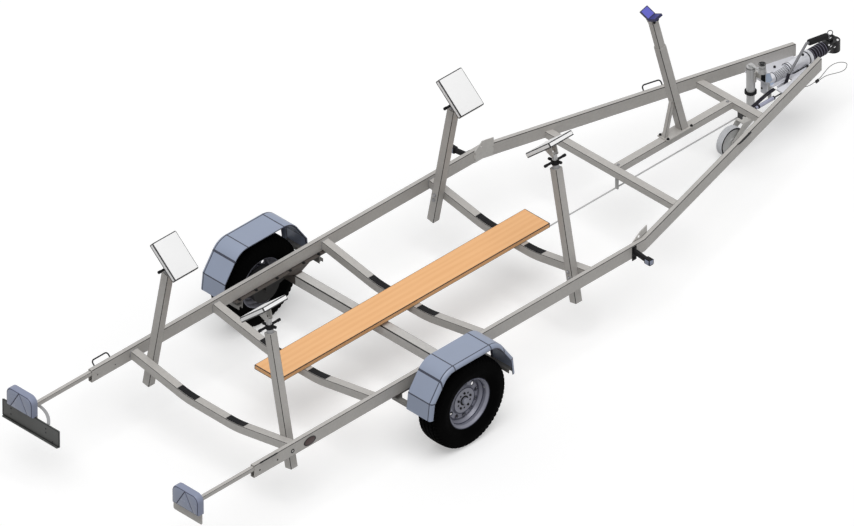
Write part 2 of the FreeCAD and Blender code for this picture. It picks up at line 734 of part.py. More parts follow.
def swing_arms():
    """Trailing arms on the ends of the axle tube, with stub shafts and brake backplates."""
    start = AXLE_HALF_LENGTH
    end = start + SWING_ARM_THICKNESS
    axle_end = Vector(start, AXLE_Y, AXLE_Z)
    hub_end = Vector(start, WHEEL_Y, HUB_Z)
    run = hub_end - axle_end
    normal = Vector(0, -run.z, run.y).normalize()
    flank = [
        axle_end + normal * SWING_ARM_AXLE_RADIUS, hub_end + normal * SWING_ARM_HUB_RADIUS,
        hub_end - normal * SWING_ARM_HUB_RADIUS, axle_end - normal * SWING_ARM_AXLE_RADIUS]
    depth = X_AXIS * SWING_ARM_THICKNESS
    arm = joined([
        rod(axle_end, axle_end + depth, SWING_ARM_AXLE_RADIUS),
        rod(hub_end, hub_end + depth, SWING_ARM_HUB_RADIUS),
        prism(flank, depth),
        rod(Vector(end, WHEEL_Y, HUB_Z), Vector(end + BACKPLATE_THICKNESS, WHEEL_Y, HUB_Z), DRUM_RADIUS),
        rod(hub_end, Vector(WHEEL_FACE_X, WHEEL_Y, HUB_Z), SPINDLE_RADIUS),
    ])
    return Part.makeCompound([arm, mirrored(arm)])


def hub_drum():
    """Right brake drum and hub, turning on the stub shaft."""
    start = DRUM_START_X
    drum_end = start + DRUM_LENGTH
    face = WHEEL_FACE_X
    bore = SPINDLE_RADIUS + SLIDE_GAP
    profile = [
        (DRUM_RADIUS - DRUM_WALL, start), (DRUM_RADIUS, start), (DRUM_RADIUS, drum_end),
        (HUB_FLANGE_RADIUS, drum_end + DRUM_TAPER), (HUB_FLANGE_RADIUS, face), (HUB_CAP_RADIUS, face),
        (HUB_CAP_RADIUS, face + HUB_CAP_LENGTH - HUB_CAP_EDGE),
        (HUB_CAP_RADIUS - HUB_CAP_EDGE, face + HUB_CAP_LENGTH),
        (0, face + HUB_CAP_LENGTH), (0, face + SPINDLE_END_GAP), (bore, face + SPINDLE_END_GAP), (bore, start),
        (HUB_RADIUS, start), (HUB_RADIUS, drum_end - DRUM_WALL), (DRUM_RADIUS - DRUM_WALL, drum_end - DRUM_WALL)]
    return revolved(profile, Vector(0, WHEEL_Y, HUB_Z), X_AXIS)


def wheel_rim():
    """Right pressed steel wheel: barrel, dished disc, vents and bolt holes."""
    half = RIM_HALF_WIDTH
    well = RIM_WELL_RADIUS
    seat = BEAD_RADIUS
    t = RIM_THICKNESS
    well_start = RIM_SEAT_WIDTH + RIM_WELL_SLOPE - half
    outer = [
        (RIM_FLANGE_RADIUS, -half), (RIM_FLANGE_RADIUS, t - half), (seat, t + RIM_BEAD_STEP - half),
        (seat, RIM_SEAT_WIDTH - half), (well + t, well_start), (well + t, RIM_WELL_END), (seat, RIM_SEAT_START),
        (seat, half - t - RIM_BEAD_STEP), (RIM_FLANGE_RADIUS, half - t), (RIM_FLANGE_RADIUS, half)]
    inner = [
        (RIM_FLANGE_RADIUS - t, half), (seat - t, half - RIM_BEAD_STEP - t / 2), (seat - t, RIM_SEAT_START + t),
        (well, RIM_WELL_END + t), (well, well_start - t), (seat - t, RIM_SEAT_WIDTH - t - half),
        (seat - t, RIM_BEAD_STEP + t / 2 - half), (RIM_FLANGE_RADIUS - t, -half)]
    barrel = revolved(outer + inner, Vector(WHEEL_CENTRE_X, WHEEL_Y, HUB_Z), X_AXIS)
    face = DISC_FACE_OFFSET
    dish = face - DISC_DISH
    lip = face - DISC_LIP
    hub = DISC_HUB_RADIUS
    slope = DISC_DISH_RUN
    disc_profile = [
        (DISC_BORE_RADIUS, face - t), (DISC_BORE_RADIUS, face), (hub, face),
        (hub + slope, dish), (DISC_VENT_CIRCLE + slope, dish), (well - DISC_LIP_RUN, lip + t),
        (well + DISC_PRESS, lip), (well + DISC_PRESS, lip - t), (well - DISC_LIP_RUN, lip),
        (DISC_VENT_CIRCLE + slope - t / 2, dish - t), (hub + slope - t / 2, dish - t), (hub - t / 2, face - t)]
    disc = revolved(disc_profile, Vector(WHEEL_CENTRE_X, WHEEL_Y, HUB_Z), X_AXIS)
    body = barrel.fuse(disc)
    tools = []
    near = Vector(WHEEL_CENTRE_X, WHEEL_Y, HUB_Z)
    deep = X_AXIS * (half + REACH)
    for y, z in ring_of(DISC_VENT_COUNT, DISC_VENT_CIRCLE, DISC_VENT_TURN_DEG):
        start = near + Vector(0, y, z)
        tools.append(rod(start, start + deep, DISC_VENT_RADIUS))
    for y, z in ring_of(WHEEL_BOLT_COUNT, WHEEL_BOLT_CIRCLE, WHEEL_BOLT_TURN_DEG):
        start = near + Vector(0, y, z)
        tools.append(rod(start, start + deep, WHEEL_BOLT_RADIUS))
    return body.cut(tools[0].multiFuse(tools[1:]))


def tyre():
    """Right tyre: beads on the rim seats, bulging walls, rounded shoulders."""
    half = TYRE_WIDTH / 2
    bead = RIM_HALF_WIDTH - RIM_THICKNESS - RIM_BEAD_STEP - SLIDE_GAP
    inner = BEAD_RADIUS + SLIDE_GAP
    flange = RIM_FLANGE_RADIUS + TYRE_FLANGE_GAP
    middle_radius = (TYRE_RADIUS + BEAD_RADIUS) / 2 - TYRE_BULGE_DROP
    swell = TYRE_WALL_SWELL
    rise = TYRE_BEAD_RISE

    def at(radius, along):
        return Vector(WHEEL_CENTRE_X + along, WHEEL_Y, HUB_Z + radius)

    def shell(bead_half, bead_radius, wall_half, tread_radius, tread_half):
        """Outer or inner half outline from bead to bead."""
        return [
            Part.LineSegment(at(bead_radius, -bead_half), at(flange, -bead_half)).toShape(),
            Part.Arc(at(flange, -bead_half), at(middle_radius - rise, -wall_half + swell),
                     at(middle_radius, -wall_half)).toShape(),
            Part.Arc(at(middle_radius, -wall_half), at(tread_radius - TYRE_SHOULDER_DROP, -wall_half + swell),
                     at(tread_radius, -tread_half)).toShape(),
            Part.Arc(at(tread_radius, -tread_half), at(tread_radius + TYRE_CROWN, 0),
                     at(tread_radius, tread_half)).toShape(),
            Part.Arc(at(tread_radius, tread_half), at(tread_radius - TYRE_SHOULDER_DROP, wall_half - swell),
                     at(middle_radius, wall_half)).toShape(),
            Part.Arc(at(middle_radius, wall_half), at(middle_radius - rise, wall_half - swell),
                     at(flange, bead_half)).toShape(),
            Part.LineSegment(at(flange, bead_half), at(bead_radius, bead_half)).toShape(),
        ]

    crown = TYRE_RADIUS - TYRE_CROWN
    wall = TYRE_WALL
    outer = shell(bead, inner, half, crown, TREAD_HALF_WIDTH)
    lining = shell(bead - wall, inner, half - wall, crown - wall, TREAD_HALF_WIDTH - wall / 2)
    left = Part.LineSegment(at(inner, -bead), at(inner, -bead + wall)).toShape()
    right = Part.LineSegment(at(inner, bead), at(inner, bead - wall)).toShape()
    wire = Part.Wire(Part.sortEdges(outer + lining + [left, right])[0])
    return Part.Face(wire).revolve(Vector(0, WHEEL_Y, HUB_Z), X_AXIS, 360)


# ---------------------------------------------------------------- mudguards
def guard_knee_z():
    """Height of the crease between the guard's slope and its foot."""
    slope = math.radians(GUARD_SLOPE_DEG)
    bend_y = GUARD_FLAT_HALF + GUARD_BEND_RADIUS * math.sin(slope)
    bend_z = GUARD_TOP_Z - GUARD_BEND_RADIUS * (1 - math.cos(slope))
    return bend_z - (GUARD_KNEE_Y - bend_y) * math.tan(slope)


def guard_outline(inset):
    """Closed side outline (Y, Z) of the mudguard, moved inwards by inset."""
    slope = math.radians(GUARD_SLOPE_DEG)
    radius = GUARD_BEND_RADIUS - inset
    top = GUARD_TOP_Z - inset
    flat = GUARD_FLAT_HALF
    bend_y = flat + radius * math.sin(slope)
    bend_z = top - radius * (1 - math.cos(slope))
    mid_y = flat + radius * math.sin(slope / 2)
    mid_z = top - radius * (1 - math.cos(slope / 2))
    foot_drop = GUARD_FOOT_Z - 1
    knee_y = GUARD_KNEE_Y - inset
    knee_z = guard_knee_z() - inset * math.tan((math.pi / 2 - slope) / 2)
    foot_y = GUARD_FOOT_Y - inset

    def at(y, z):
        return Vector(0, WHEEL_Y + y, z)

    return Part.Wire([
        Part.LineSegment(at(-flat, top), at(flat, top)).toShape(),
        Part.Arc(at(flat, top), at(mid_y, mid_z), at(bend_y, bend_z)).toShape(),
        Part.LineSegment(at(bend_y, bend_z), at(knee_y, knee_z)).toShape(),
        Part.LineSegment(at(knee_y, knee_z), at(foot_y, foot_drop)).toShape(),
        Part.LineSegment(at(foot_y, foot_drop), at(-foot_y, foot_drop)).toShape(),
        Part.LineSegment(at(-foot_y, foot_drop), at(-knee_y, knee_z)).toShape(),
        Part.LineSegment(at(-knee_y, knee_z), at(-bend_y, bend_z)).toShape(),
        Part.Arc(at(-bend_y, bend_z), at(-mid_y, mid_z), at(-flat, top)).toShape(),
    ])


def guard_block(inset, lip_radius):
    """Solid under the guard's skin, with the rolled outer edge."""
    outline = guard_outline(inset)
    outline.translate(X_AXIS * GUARD_INNER_X)
    solid = Part.Face(outline).extrude(X_AXIS * (GUARD_OUTER_X - GUARD_INNER_X - inset))
    outer_x = GUARD_OUTER_X - inset
    rim = []
    for edge in solid.Edges:
        box = edge.BoundBox
        if abs(box.XMin - outer_x) < 0.01 and abs(box.XMax - outer_x) < 0.01 and box.ZMax > GUARD_FOOT_Z + 2:
            rim.append(edge)
    return solid.makeFillet(lip_radius, rim)


def mudguard():
    """Right mudguard: folded sheet over the wheel with a rolled lip outside."""
    skin = guard_block(0.0, GUARD_LIP_RADIUS)
    core = guard_block(GUARD_THICKNESS, GUARD_LIP_RADIUS - GUARD_THICKNESS)
    core_inward = core.copy()
    core_inward.translate(X_AXIS * -REACH)
    shell = skin.cut(core).cut(core_inward)
    depth = GUARD_OUTER_X - GUARD_INNER_X
    keep = GUARD_LIP_RADIUS + 2
    clear = block((GUARD_INNER_X - REACH, GUARD_OUTER_X + REACH),
                  (WHEEL_Y - GUARD_FOOT_Y - REACH, WHEEL_Y + GUARD_FOOT_Y + REACH),
                  (GUARD_FOOT_Z - 30, GUARD_FOOT_Z))
    window = guard_outline(keep)
    window.translate(X_AXIS * (GUARD_INNER_X - REACH))
    opening = Part.Face(window).extrude(X_AXIS * (depth + 2 * REACH))
    return shell.cut(clear).cut(opening)


def mudguard_stays():
    """Channel bars from the rails to the feet of the mudguards, two on each side."""
    bars = []
    bottom = GUARD_FOOT_Z + STAY_THICKNESS
    top = bottom + STAY_HEIGHT
    wall_lean = (GUARD_FOOT_Y - GUARD_KNEE_Y) / (guard_knee_z() - GUARD_FOOT_Z)
    wall_y = GUARD_FOOT_Y - GUARD_THICKNESS - wall_lean * (top - GUARD_FOOT_Z)
    for y_sign in (-1, 1):
        outer_y = WHEEL_Y + y_sign * (wall_y - SLIDE_GAP)
        inner_y = outer_y - y_sign * STAY_WIDTH
        channel = block((RAIL_OUTER_X - MOUNTING_STRIP_WIDTH, GUARD_OUTER_X - GUARD_LIP_RADIUS),
                        (inner_y, outer_y), (bottom, top))
        hollow = block((RAIL_OUTER_X - MOUNTING_STRIP_WIDTH - REACH, GUARD_OUTER_X),
                       (inner_y + y_sign * STAY_THICKNESS, outer_y - y_sign * STAY_THICKNESS),
                       (bottom - REACH, top - STAY_THICKNESS))
        hanger_y = (inner_y, inner_y + y_sign * STAY_THICKNESS * 2)
        hanger = block((RAIL_OUTER_X - MOUNTING_STRIP_WIDTH, RAIL_OUTER_X), hanger_y,
                       (top - STAY_THICKNESS, RAIL_BOTTOM - MOUNTING_STRIP_THICKNESS))
        bars.append(joined([channel.cut(hollow), hanger]))
    stays = []
    for bar in bars:
        stays.append(bar)
        stays.append(mirrored(bar))
    return Part.makeCompound(stays)


# ---------------------------------------------------------------- hull supports
POLE_LEAN = math.radians(POLE_LEAN_DEG)
POLE_AXIS = Vector(-math.sin(POLE_LEAN), 0, math.cos(POLE_LEAN))
POLE_ACROSS = Vector(math.cos(POLE_LEAN), 0, math.sin(POLE_LEAN))


def pole_point(y, distance):
    """Point on a right pole's centre line, measured from its top."""
    foot = Vector(POLE_FOOT_X, y, POLE_FOOT_Z)
    return foot + POLE_AXIS * (POLE_LENGTH + distance)


def support_pole(y):
    """Right support pole: square tube with a drilled cap."""
    foot = pole_point(y, -POLE_LENGTH)
    top = pole_point(y, 0)
    tube = box_tube(foot, top, POLE_ACROSS, POLE_TUBE, POLE_TUBE, POLE_CORNER, POLE_WALL)
    inner = POLE_TUBE - 2 * POLE_WALL
    cap = box_bar(pole_point(y, -POLE_CAP_THICKNESS), top, POLE_ACROSS, inner + 0.4, inner + 0.4, 0.8)
    bore = rod(pole_point(y, -POLE_CAP_THICKNESS - 2), pole_point(y, 2), PAD_SPINDLE_RADIUS + SLIDE_GAP)
    return joined([tube, cap]).cut(bore)


def star_nut(y):
    """Hand nut with four arms on top of a right pole."""
    low = pole_point(y, 0)
    hub_top = pole_point(y, STAR_RISE + STAR_HUB_HEIGHT)
    middle = pole_point(y, STAR_RISE + STAR_HUB_HEIGHT / 2)
    pieces = [rod(low, hub_top, STAR_HUB_RADIUS)]
    for direction, length in ((Y_AXIS, STAR_ARM_LENGTH_Y), (POLE_ACROSS, STAR_ARM_LENGTH_X)):
        pieces.append(rod(middle - direction * length, middle + direction * length, STAR_ARM_RADIUS))
    bore = rod(pole_point(y, -2), pole_point(y, STAR_RISE + STAR_HUB_HEIGHT + 2),
               PAD_SPINDLE_RADIUS + SLIDE_GAP)
    return joined(pieces).cut(bore)


def pad_spindle(y):
    """Right height spindle with a drilled head for the pad's hinge."""
    start = pole_point(y, -PAD_SPINDLE_DEPTH)
    pivot = pole_point(y, PAD_PIVOT_RISE)
    half = PAD_SPINDLE_RADIUS
    body = rod(start, pivot, PAD_SPINDLE_RADIUS)
    head = rod(pivot - Y_AXIS * half, pivot + Y_AXIS * half, PAD_SPINDLE_RADIUS)
    trim = rod(pivot - POLE_AXIS * half, pivot + POLE_AXIS * half, PAD_SPINDLE_RADIUS)
    hole = rod(pivot - Y_AXIS * 2 * half, pivot + Y_AXIS * 2 * half, PAD_PIVOT_PIN_RADIUS + SLIDE_GAP)
    return joined([body, head.common(trim)]).cut(hole)


PAD_TILT = math.radians(PAD_TILT_DEG)
PAD_NORMAL = Vector(-math.sin(PAD_TILT), 0, math.cos(PAD_TILT))
PAD_SLOPE = Vector(math.cos(PAD_TILT), 0, math.sin(PAD_TILT))


def pad_hinge(y):
    """Right hinge bracket: plate under the pad, two ears and their pin."""
    pivot = pole_point(y, PAD_PIVOT_RISE)
    under = pivot + PAD_NORMAL * PAD_PIVOT_DROP
    plate_low = under - PAD_NORMAL * HINGE_PLATE_THICKNESS
    plate = box_bar(plate_low, under, PAD_SLOPE, 2 * HINGE_PLATE_HALF, 2 * HINGE_PLATE_HALF, HINGE_CORNER)
    pieces = [plate]
    ear_start = PAD_SPINDLE_RADIUS + SLIDE_GAP
    for side in (-1, 1):
        near = Y_AXIS * side * ear_start
        thick = Y_AXIS * side * HINGE_EAR_THICKNESS
        wide = PAD_SLOPE * (HINGE_PLATE_HALF - HINGE_EAR_THICKNESS)
        slim = PAD_SLOPE * HINGE_EAR_RADIUS
        outline = [plate_low + wide, pivot + slim, pivot - slim, plate_low - wide]
        pieces.append(prism([p + near for p in outline], thick))
        pieces.append(rod(pivot + near, pivot + near + thick, HINGE_EAR_RADIUS))
    end = ear_start + HINGE_EAR_THICKNESS
    pieces.append(rod(pivot - Y_AXIS * end, pivot + Y_AXIS * end, PAD_PIVOT_PIN_RADIUS))
    return joined(pieces)


def hull_pad(y):
    """Right pad, a flat rounded block on the hinge plate."""
    pivot = pole_point(y, PAD_PIVOT_RISE)
    centre = pivot + PAD_NORMAL * (PAD_PIVOT_DROP + PAD_THICKNESS / 2) + PAD_SLOPE * PAD_SHIFT
    half = Y_AXIS * (PAD_LENGTH / 2)
    return box_bar(centre - half, centre + half, PAD_SLOPE, PAD_ACROSS, PAD_THICKNESS, PAD_CORNER)


# ---------------------------------------------------------------- bow post
POST_LEAN = math.radians(POST_LEAN_DEG)
POST_AXIS = Vector(0, -math.sin(POST_LEAN), math.cos(POST_LEAN))
POST_FORWARD = Vector(0, math.cos(POST_LEAN), math.sin(POST_LEAN))
POST_FOOT = Vector(0, POST_FOOT_Y, FRONT_MEMBER_TOP + POST_BASE_THICKNESS)


def bow_post():
    """Lower post on its base plate on the front beam, with the strut behind it."""
    base = block((-POST_BASE_HALF_WIDTH, POST_BASE_HALF_WIDTH), (POST_BASE_REAR_Y, POST_BASE_FRONT_Y),
                 (FRONT_MEMBER_TOP, FRONT_MEMBER_TOP + POST_BASE_THICKNESS))
    top = POST_FOOT + POST_AXIS * POST_LENGTH
    tube = box_tube(POST_FOOT - POST_AXIS * POST_SINK, top, X_AXIS, POST_TUBE, POST_TUBE, POST_CORNER, POST_WALL)
    below = block((-OVERALL, OVERALL), (POST_BASE_REAR_Y - OVERALL, POST_BASE_FRONT_Y + OVERALL),
                  (FRONT_MEMBER_TOP - OVERALL, FRONT_MEMBER_TOP + POST_BASE_THICKNESS - 1))
    strut_foot = Vector(0, STRUT_FOOT_Y, FRONT_MEMBER_TOP + POST_BASE_THICKNESS)
    back_face = POST_FOOT + POST_AXIS * (STRUT_RISE / math.cos(POST_LEAN)) - POST_FORWARD * POST_TUBE / 2
    run = (back_face - strut_foot).normalize()
    strut = box_bar(strut_foot - run * STRUT_SINK, back_face + run * STRUT_SINK, X_AXIS,
                    STRUT_SIZE, STRUT_SIZE, STRUT_CORNER)
    hollow = box_bar(POST_FOOT - POST_AXIS * 2 * POST_SINK, top + POST_AXIS * REACH, X_AXIS,
                     POST_TUBE - 2 * POST_WALL, POST_TUBE - 2 * POST_WALL, 1.0)
    strut = strut.cut(below).cut(hollow)
    return joined([base, tube.cut(below), strut])


def bow_mast():
    """Upper tube that slides in the post, with the bracket under the bow block."""
    size = POST_TUBE - 2 * POST_WALL - 2 * SLIDE_GAP
    top = POST_FOOT + POST_AXIS * (POST_LENGTH + MAST_EXPOSED)
    low = POST_FOOT + POST_AXIS * (POST_LENGTH - MAST_INSERTED)
    tube = box_tube(low, top, X_AXIS, size, size, POST_CORNER, POST_WALL)
    bracket = box_bar(top, top + POST_AXIS * BOW_BRACKET_HEIGHT, X_AXIS, size, BOW_BRACKET_LENGTH, 3.0)
    seat = wing_seat_cut(top + POST_AXIS * BOW_BRACKET_HEIGHT)
    return joined([tube, bracket.cut(seat)])


def wing_outline(apex, thickness):
    """V outline across X, apex at the bottom, wings rising outwards."""
    wing = math.radians(BOW_WING_DEG)
    outline = []
    for side in (-1, 1):
        along = X_AXIS * side * math.cos(wing) + POST_AXIS * math.sin(wing)
        tip = apex + along * BOW_WING_WIDTH
        square = POST_AXIS * math.cos(wing) - X_AXIS * side * math.sin(wing)
        outline.append((tip, tip + square * thickness))
    inner_apex = apex + POST_AXIS * (thickness / math.cos(wing))
    return [outline[0][0], apex, outline[1][0], outline[1][1], inner_apex, outline[0][1]]


def bow_seat(top):
    """Lowest line of the bow block, above the mast's top."""
    drop = (POST_TUBE / 2 - POST_WALL - SLIDE_GAP) * math.tan(math.radians(BOW_WING_DEG))
    return top - POST_AXIS * drop


def wing_seat_cut(top):
    """Solid that trims the bracket to the underside of the bow block."""
    outline = wing_outline(bow_seat(top), 60.0)
    half = POST_FORWARD * BOW_BLOCK_LENGTH
    return prism([p - half for p in outline], half * 2)


def bow_block():
    """V block that the bow rests in."""
    top = POST_FOOT + POST_AXIS * (POST_LENGTH + MAST_EXPOSED + BOW_BRACKET_HEIGHT)
    outline = wing_outline(bow_seat(top), BOW_BLOCK_THICKNESS)
    half = POST_FORWARD * BOW_BLOCK_LENGTH / 2
    return prism([p - half for p in outline], half * 2)


# ---------------------------------------------------------------- lamps
def lamp_arm():
    """Right lamp arm: slides in the open rear end of the rail."""
    width = RAIL_WIDTH - 2 * RAIL_WALL - 2 * SLIDE_GAP
    inner = Vector(RAIL_CENTRE_X, ARM_INNER_END_Y, ARM_CENTRE_Z)
    outer = Vector(RAIL_CENTRE_X, ARM_OUTER_END_Y, ARM_CENTRE_Z)
    return box_tube(outer, inner, X_AXIS, width, ARM_HEIGHT, 3.0, ARM_WALL)


def lamp_bracket(inner_x, outer_x, bottom):
    """Flat sheet across the end of a lamp arm."""
    y = ARM_OUTER_END_Y
    top = LAMP_BOTTOM + LAMP_HEIGHT / 2
    sheet = block((inner_x, outer_x), (y - BRACKET_SHEET, y), (bottom, top))
    corners = [edge for edge in sheet.Edges if abs(edge.tangentAt(0).y) > 0.9]
    return sheet.makeFillet(BRACKET_CORNER, corners)


def rear_lamp():
    """Right rear lamp housing, rounded at its upper corners."""
    y = ARM_OUTER_END_Y - BRACKET_SHEET
    low_x = LAMP_CENTRE_X - LAMP_WIDTH / 2
    high_x = LAMP_CENTRE_X + LAMP_WIDTH / 2
    body = block((low_x, high_x), (y - LAMP_DEPTH, y), (LAMP_BOTTOM, LAMP_BOTTOM + LAMP_HEIGHT))
    upper = [e for e in body.Edges if abs(e.tangentAt(0).y) > 0.9 and e.BoundBox.ZMin > LAMP_BOTTOM + 10]
    body = body.makeFillet(LAMP_CORNER, upper)
    back = [e for e in body.Edges if e.BoundBox.YMax < y - LAMP_DEPTH + 0.01]
    return body.makeFillet(LAMP_EDGE, back)


def plate_holder():
    """Blank number plate holder under the left lamp, with its lower lip."""
    y = ARM_OUTER_END_Y - BRACKET_SHEET
    outer_x = -HOLDER_OUTER_X
    inner_x = outer_x + HOLDER_WIDTH
    back = block((outer_x, inner_x), (y - HOLDER_THICKNESS, y), (HOLDER_BOTTOM, HOLDER_TOP))
    corners = [edge for edge in back.Edges if abs(edge.tangentAt(0).y) > 0.9]
    back = back.makeFillet(HOLDER_CORNER, corners)
    lip = block((outer_x + HOLDER_CORNER, inner_x - HOLDER_CORNER),
                (y - HOLDER_THICKNESS - HOLDER_LIP, y - HOLDER_THICKNESS),
                (HOLDER_BOTTOM, HOLDER_BOTTOM + HOLDER_THICKNESS))
    return joined([back, lip])


def side_marker():
    """Right marker lamp on a rubber arm, with its plate on the rail's outer face."""
    half = MARKER_PLATE_WIDTH / 2
    plate_x = RAIL_OUTER_X + MARKER_PLATE_THICKNESS
    plate = block((RAIL_OUTER_X, plate_x), (MARKER_Y - half, MARKER_Y + half),
                  (RAIL_BOTTOM - MARKER_PLATE_BELOW, RAIL_TOP - RAIL_CORNER))
    lamp_start = Vector(MARKER_LAMP_X - MARKER_LAMP_LENGTH / 2, MARKER_Y, MARKER_LAMP_Z)
    lamp_end = lamp_start + X_AXIS * MARKER_LAMP_LENGTH
    arm_start = Vector(plate_x, MARKER_Y, MARKER_LAMP_Z + MARKER_ARM_RISE) - X_AXIS * SLIDE_GAP
    arm_end = lamp_start + X_AXIS * MARKER_JOIN
    arm = box_bar(arm_start, arm_end, Y_AXIS, MARKER_ARM_DEPTH, MARKER_ARM_HEIGHT, MARKER_ARM_CORNER)
    lamp = box_bar(lamp_start, lamp_end, Y_AXIS, MARKER_LAMP_DEPTH, MARKER_LAMP_HEIGHT, MARKER_LAMP_CORNER)
    return joined([plate, arm, lamp])


def lashing_bow(y, right_x, heading):
    """Bent rod on the outer top edge of the right rail; heading is the rail's direction."""
    outward = Vector(heading.y, -heading.x, 0)
    lift = (outward + Z_AXIS).normalize()
    edge = Vector(right_x, y, RAIL_TOP) + lift * (SLIDE_GAP - RAIL_CORNER * (math.sqrt(2) - 1))
    half = heading * (BOW_SPAN / 2)
    up = lift * BOW_STAND
    near = edge - half
    far = edge + half
    bend = BOW_BEND_RADIUS
    near_top = near + up
    far_top = far + up
    legs = rod(near, near_top - lift * bend, BOW_ROD_RADIUS)
    other = rod(far, far_top - lift * bend, BOW_ROD_RADIUS)
    bridge = rod(near_top + heading * bend, far_top - heading * bend, BOW_ROD_RADIUS)
    pieces = [legs, other, bridge]
    for corner, inward in ((near_top, heading), (far_top, heading * -1)):
        centre = corner - lift * bend + inward * bend
        start = centre - inward * bend
        mid = centre + (lift - inward).normalize() * bend
        end = centre + lift * bend
        wire = Part.Wire(Part.Arc(start, mid, end).toShape())
        circle = Part.Wire(Part.makeCircle(BOW_ROD_RADIUS, start, lift))
        pieces.append(wire.makePipeShell([circle], True, False))
    return joined(pieces)


def lashing_bows():
    """Four bows: one near each rail's rear end and one on each converging part."""
    rear_y, front_y = BOW_YS
    slant = Vector(-math.sin(TAPER_ANGLE), math.cos(TAPER_ANGLE), 0)
    outer_front_x = rail_inner_face_x(front_y) + RAIL_WIDTH / math.cos(TAPER_ANGLE)
    right = [lashing_bow(rear_y, RAIL_OUTER_X, Y_AXIS), lashing_bow(front_y, outer_front_x, slant)]
    return Part.makeCompound(right + [mirrored(bow) for bow in right])


# ---------------------------------------------------------------- drawbar
def overrun_housing():
    """Casting between the rail ends: base plate, stepped barrel with ribs, rear bracket and lugs."""
    low = RAIL_BOTTOM
    top = low + HOUSING_BASE_THICKNESS
    corners = []
    for side, y in ((-1, HOUSING_REAR_Y), (1, HOUSING_REAR_Y), (1, HOUSING_BASE_FRONT_Y), (-1, HOUSING_BASE_FRONT_Y)):
        corners.append(Vector(side * rail_inner_face_x(y), y, low))
    lever_half = LEVER_HUB_LENGTH / 2
    slot = block((LEVER_X - lever_half - LEVER_SLOT_GAP, LEVER_X + lever_half + LEVER_SLOT_GAP),
                 (HOUSING_REAR_Y - REACH, LEVER_KNEE[0] + 2 * LEVER_ROD_RADIUS), (low - REACH, top + REACH))
    base = prism(corners, Z_AXIS * HOUSING_BASE_THICKNESS).cut(slot)
    rear = Vector(0, HOUSING_REAR_Y, COUPLING_Z)
    step = Vector(0, HOUSING_STEP_Y, COUPLING_Z)
    front = Vector(0, HOUSING_FRONT_Y, COUPLING_Z)
    pieces = [base, rod(rear, step, HOUSING_REAR_RADIUS), rod(step, front, HOUSING_RADIUS)]
    pieces.append(rod(front - Y_AXIS * HOUSING_RING_LENGTH, front, HOUSING_RADIUS + HOUSING_RING_HEIGHT))
    reach = HOUSING_REAR_RADIUS + HOUSING_RIB_HEIGHT
    for index in range(HOUSING_RIB_COUNT):
        angle = math.pi * index / HOUSING_RIB_COUNT
        across = Vector(math.cos(angle), 0, math.sin(angle))
        start = Vector(0, HOUSING_RIB_REAR_Y, COUPLING_Z)
        end = Vector(0, HOUSING_RIB_FRONT_Y, COUPLING_Z)
        pieces.append(box_bar(start, end, across, 2 * reach, HOUSING_RIB_WIDTH, HOUSING_RIB_CORNER))
    near_x, far_x = CHEEK_XS
    pieces.append(prism([Vector(near_x, y, z) for y, z in CHEEK_OUTLINE], X_AXIS * (far_x - near_x)))
    pieces.append(block(REAR_LUG_XS, (HOUSING_REAR_Y, HOUSING_REAR_Y + REAR_LUG_THICKNESS), (REAR_LUG_LOW_Z, top)))
    bracket_x = LEVER_X - lever_half - SLIDE_GAP
    pieces.append(prism([
        Vector(bracket_x, LEVER_PIVOT_Y - LEVER_LUG_HALF, low), Vector(bracket_x, LEVER_PIVOT_Y + LEVER_LUG_HALF, low),
        Vector(bracket_x, LEVER_PIVOT_Y + LEVER_HUB_RADIUS, LEVER_PIVOT_Z - LEVER_HUB_RADIUS),
        Vector(bracket_x, LEVER_PIVOT_Y - LEVER_HUB_RADIUS, LEVER_PIVOT_Z - LEVER_HUB_RADIUS)],
        X_AXIS * -LEVER_LUG_THICKNESS))
    pivot = Vector(bracket_x, LEVER_PIVOT_Y, LEVER_PIVOT_Z)
    pin_end = pivot + X_AXIS * (LEVER_HUB_LENGTH + 2 * SLIDE_GAP)
    pieces.append(rod(pivot - X_AXIS * LEVER_PIN_HEAD, pin_end + X_AXIS * LEVER_PIN_HEAD, LEVER_PIN_RADIUS))
    pieces.append(rod(pin_end, pin_end + X_AXIS * LEVER_PIN_HEAD, LEVER_PIN_RADIUS + LEVER_PIN_HEAD))
    eye = Vector(*CABLE_POINTS[0])
    back = (eye - Vector(*CABLE_POINTS[1])).normalize()
    pieces.append(rod(eye, eye + back * CABLE_EYE_LENGTH, CABLE_EYE_RADIUS))
    return joined(pieces)


def bellows():
    """Rubber bellows between the housing and the coupling head."""
    fold = (BELLOWS_FRONT_Y - HOUSING_FRONT_Y) / BELLOWS_FOLDS
    profile = [(DRAWBAR_TUBE_RADIUS, HOUSING_FRONT_Y), (BELLOWS_VALLEY_RADIUS, HOUSING_FRONT_Y)]
    for index in range(BELLOWS_FOLDS):
        start = HOUSING_FRONT_Y + index * fold
        profile.append((BELLOWS_RADIUS, start + fold * 0.3))
        profile.append((BELLOWS_RADIUS, start + fold * 0.7))
        profile.append((BELLOWS_VALLEY_RADIUS, start + fold))
    profile.append((DRAWBAR_TUBE_RADIUS, BELLOWS_FRONT_Y))
    return revolved(profile, Vector(0, 0, COUPLING_Z), Y_AXIS)


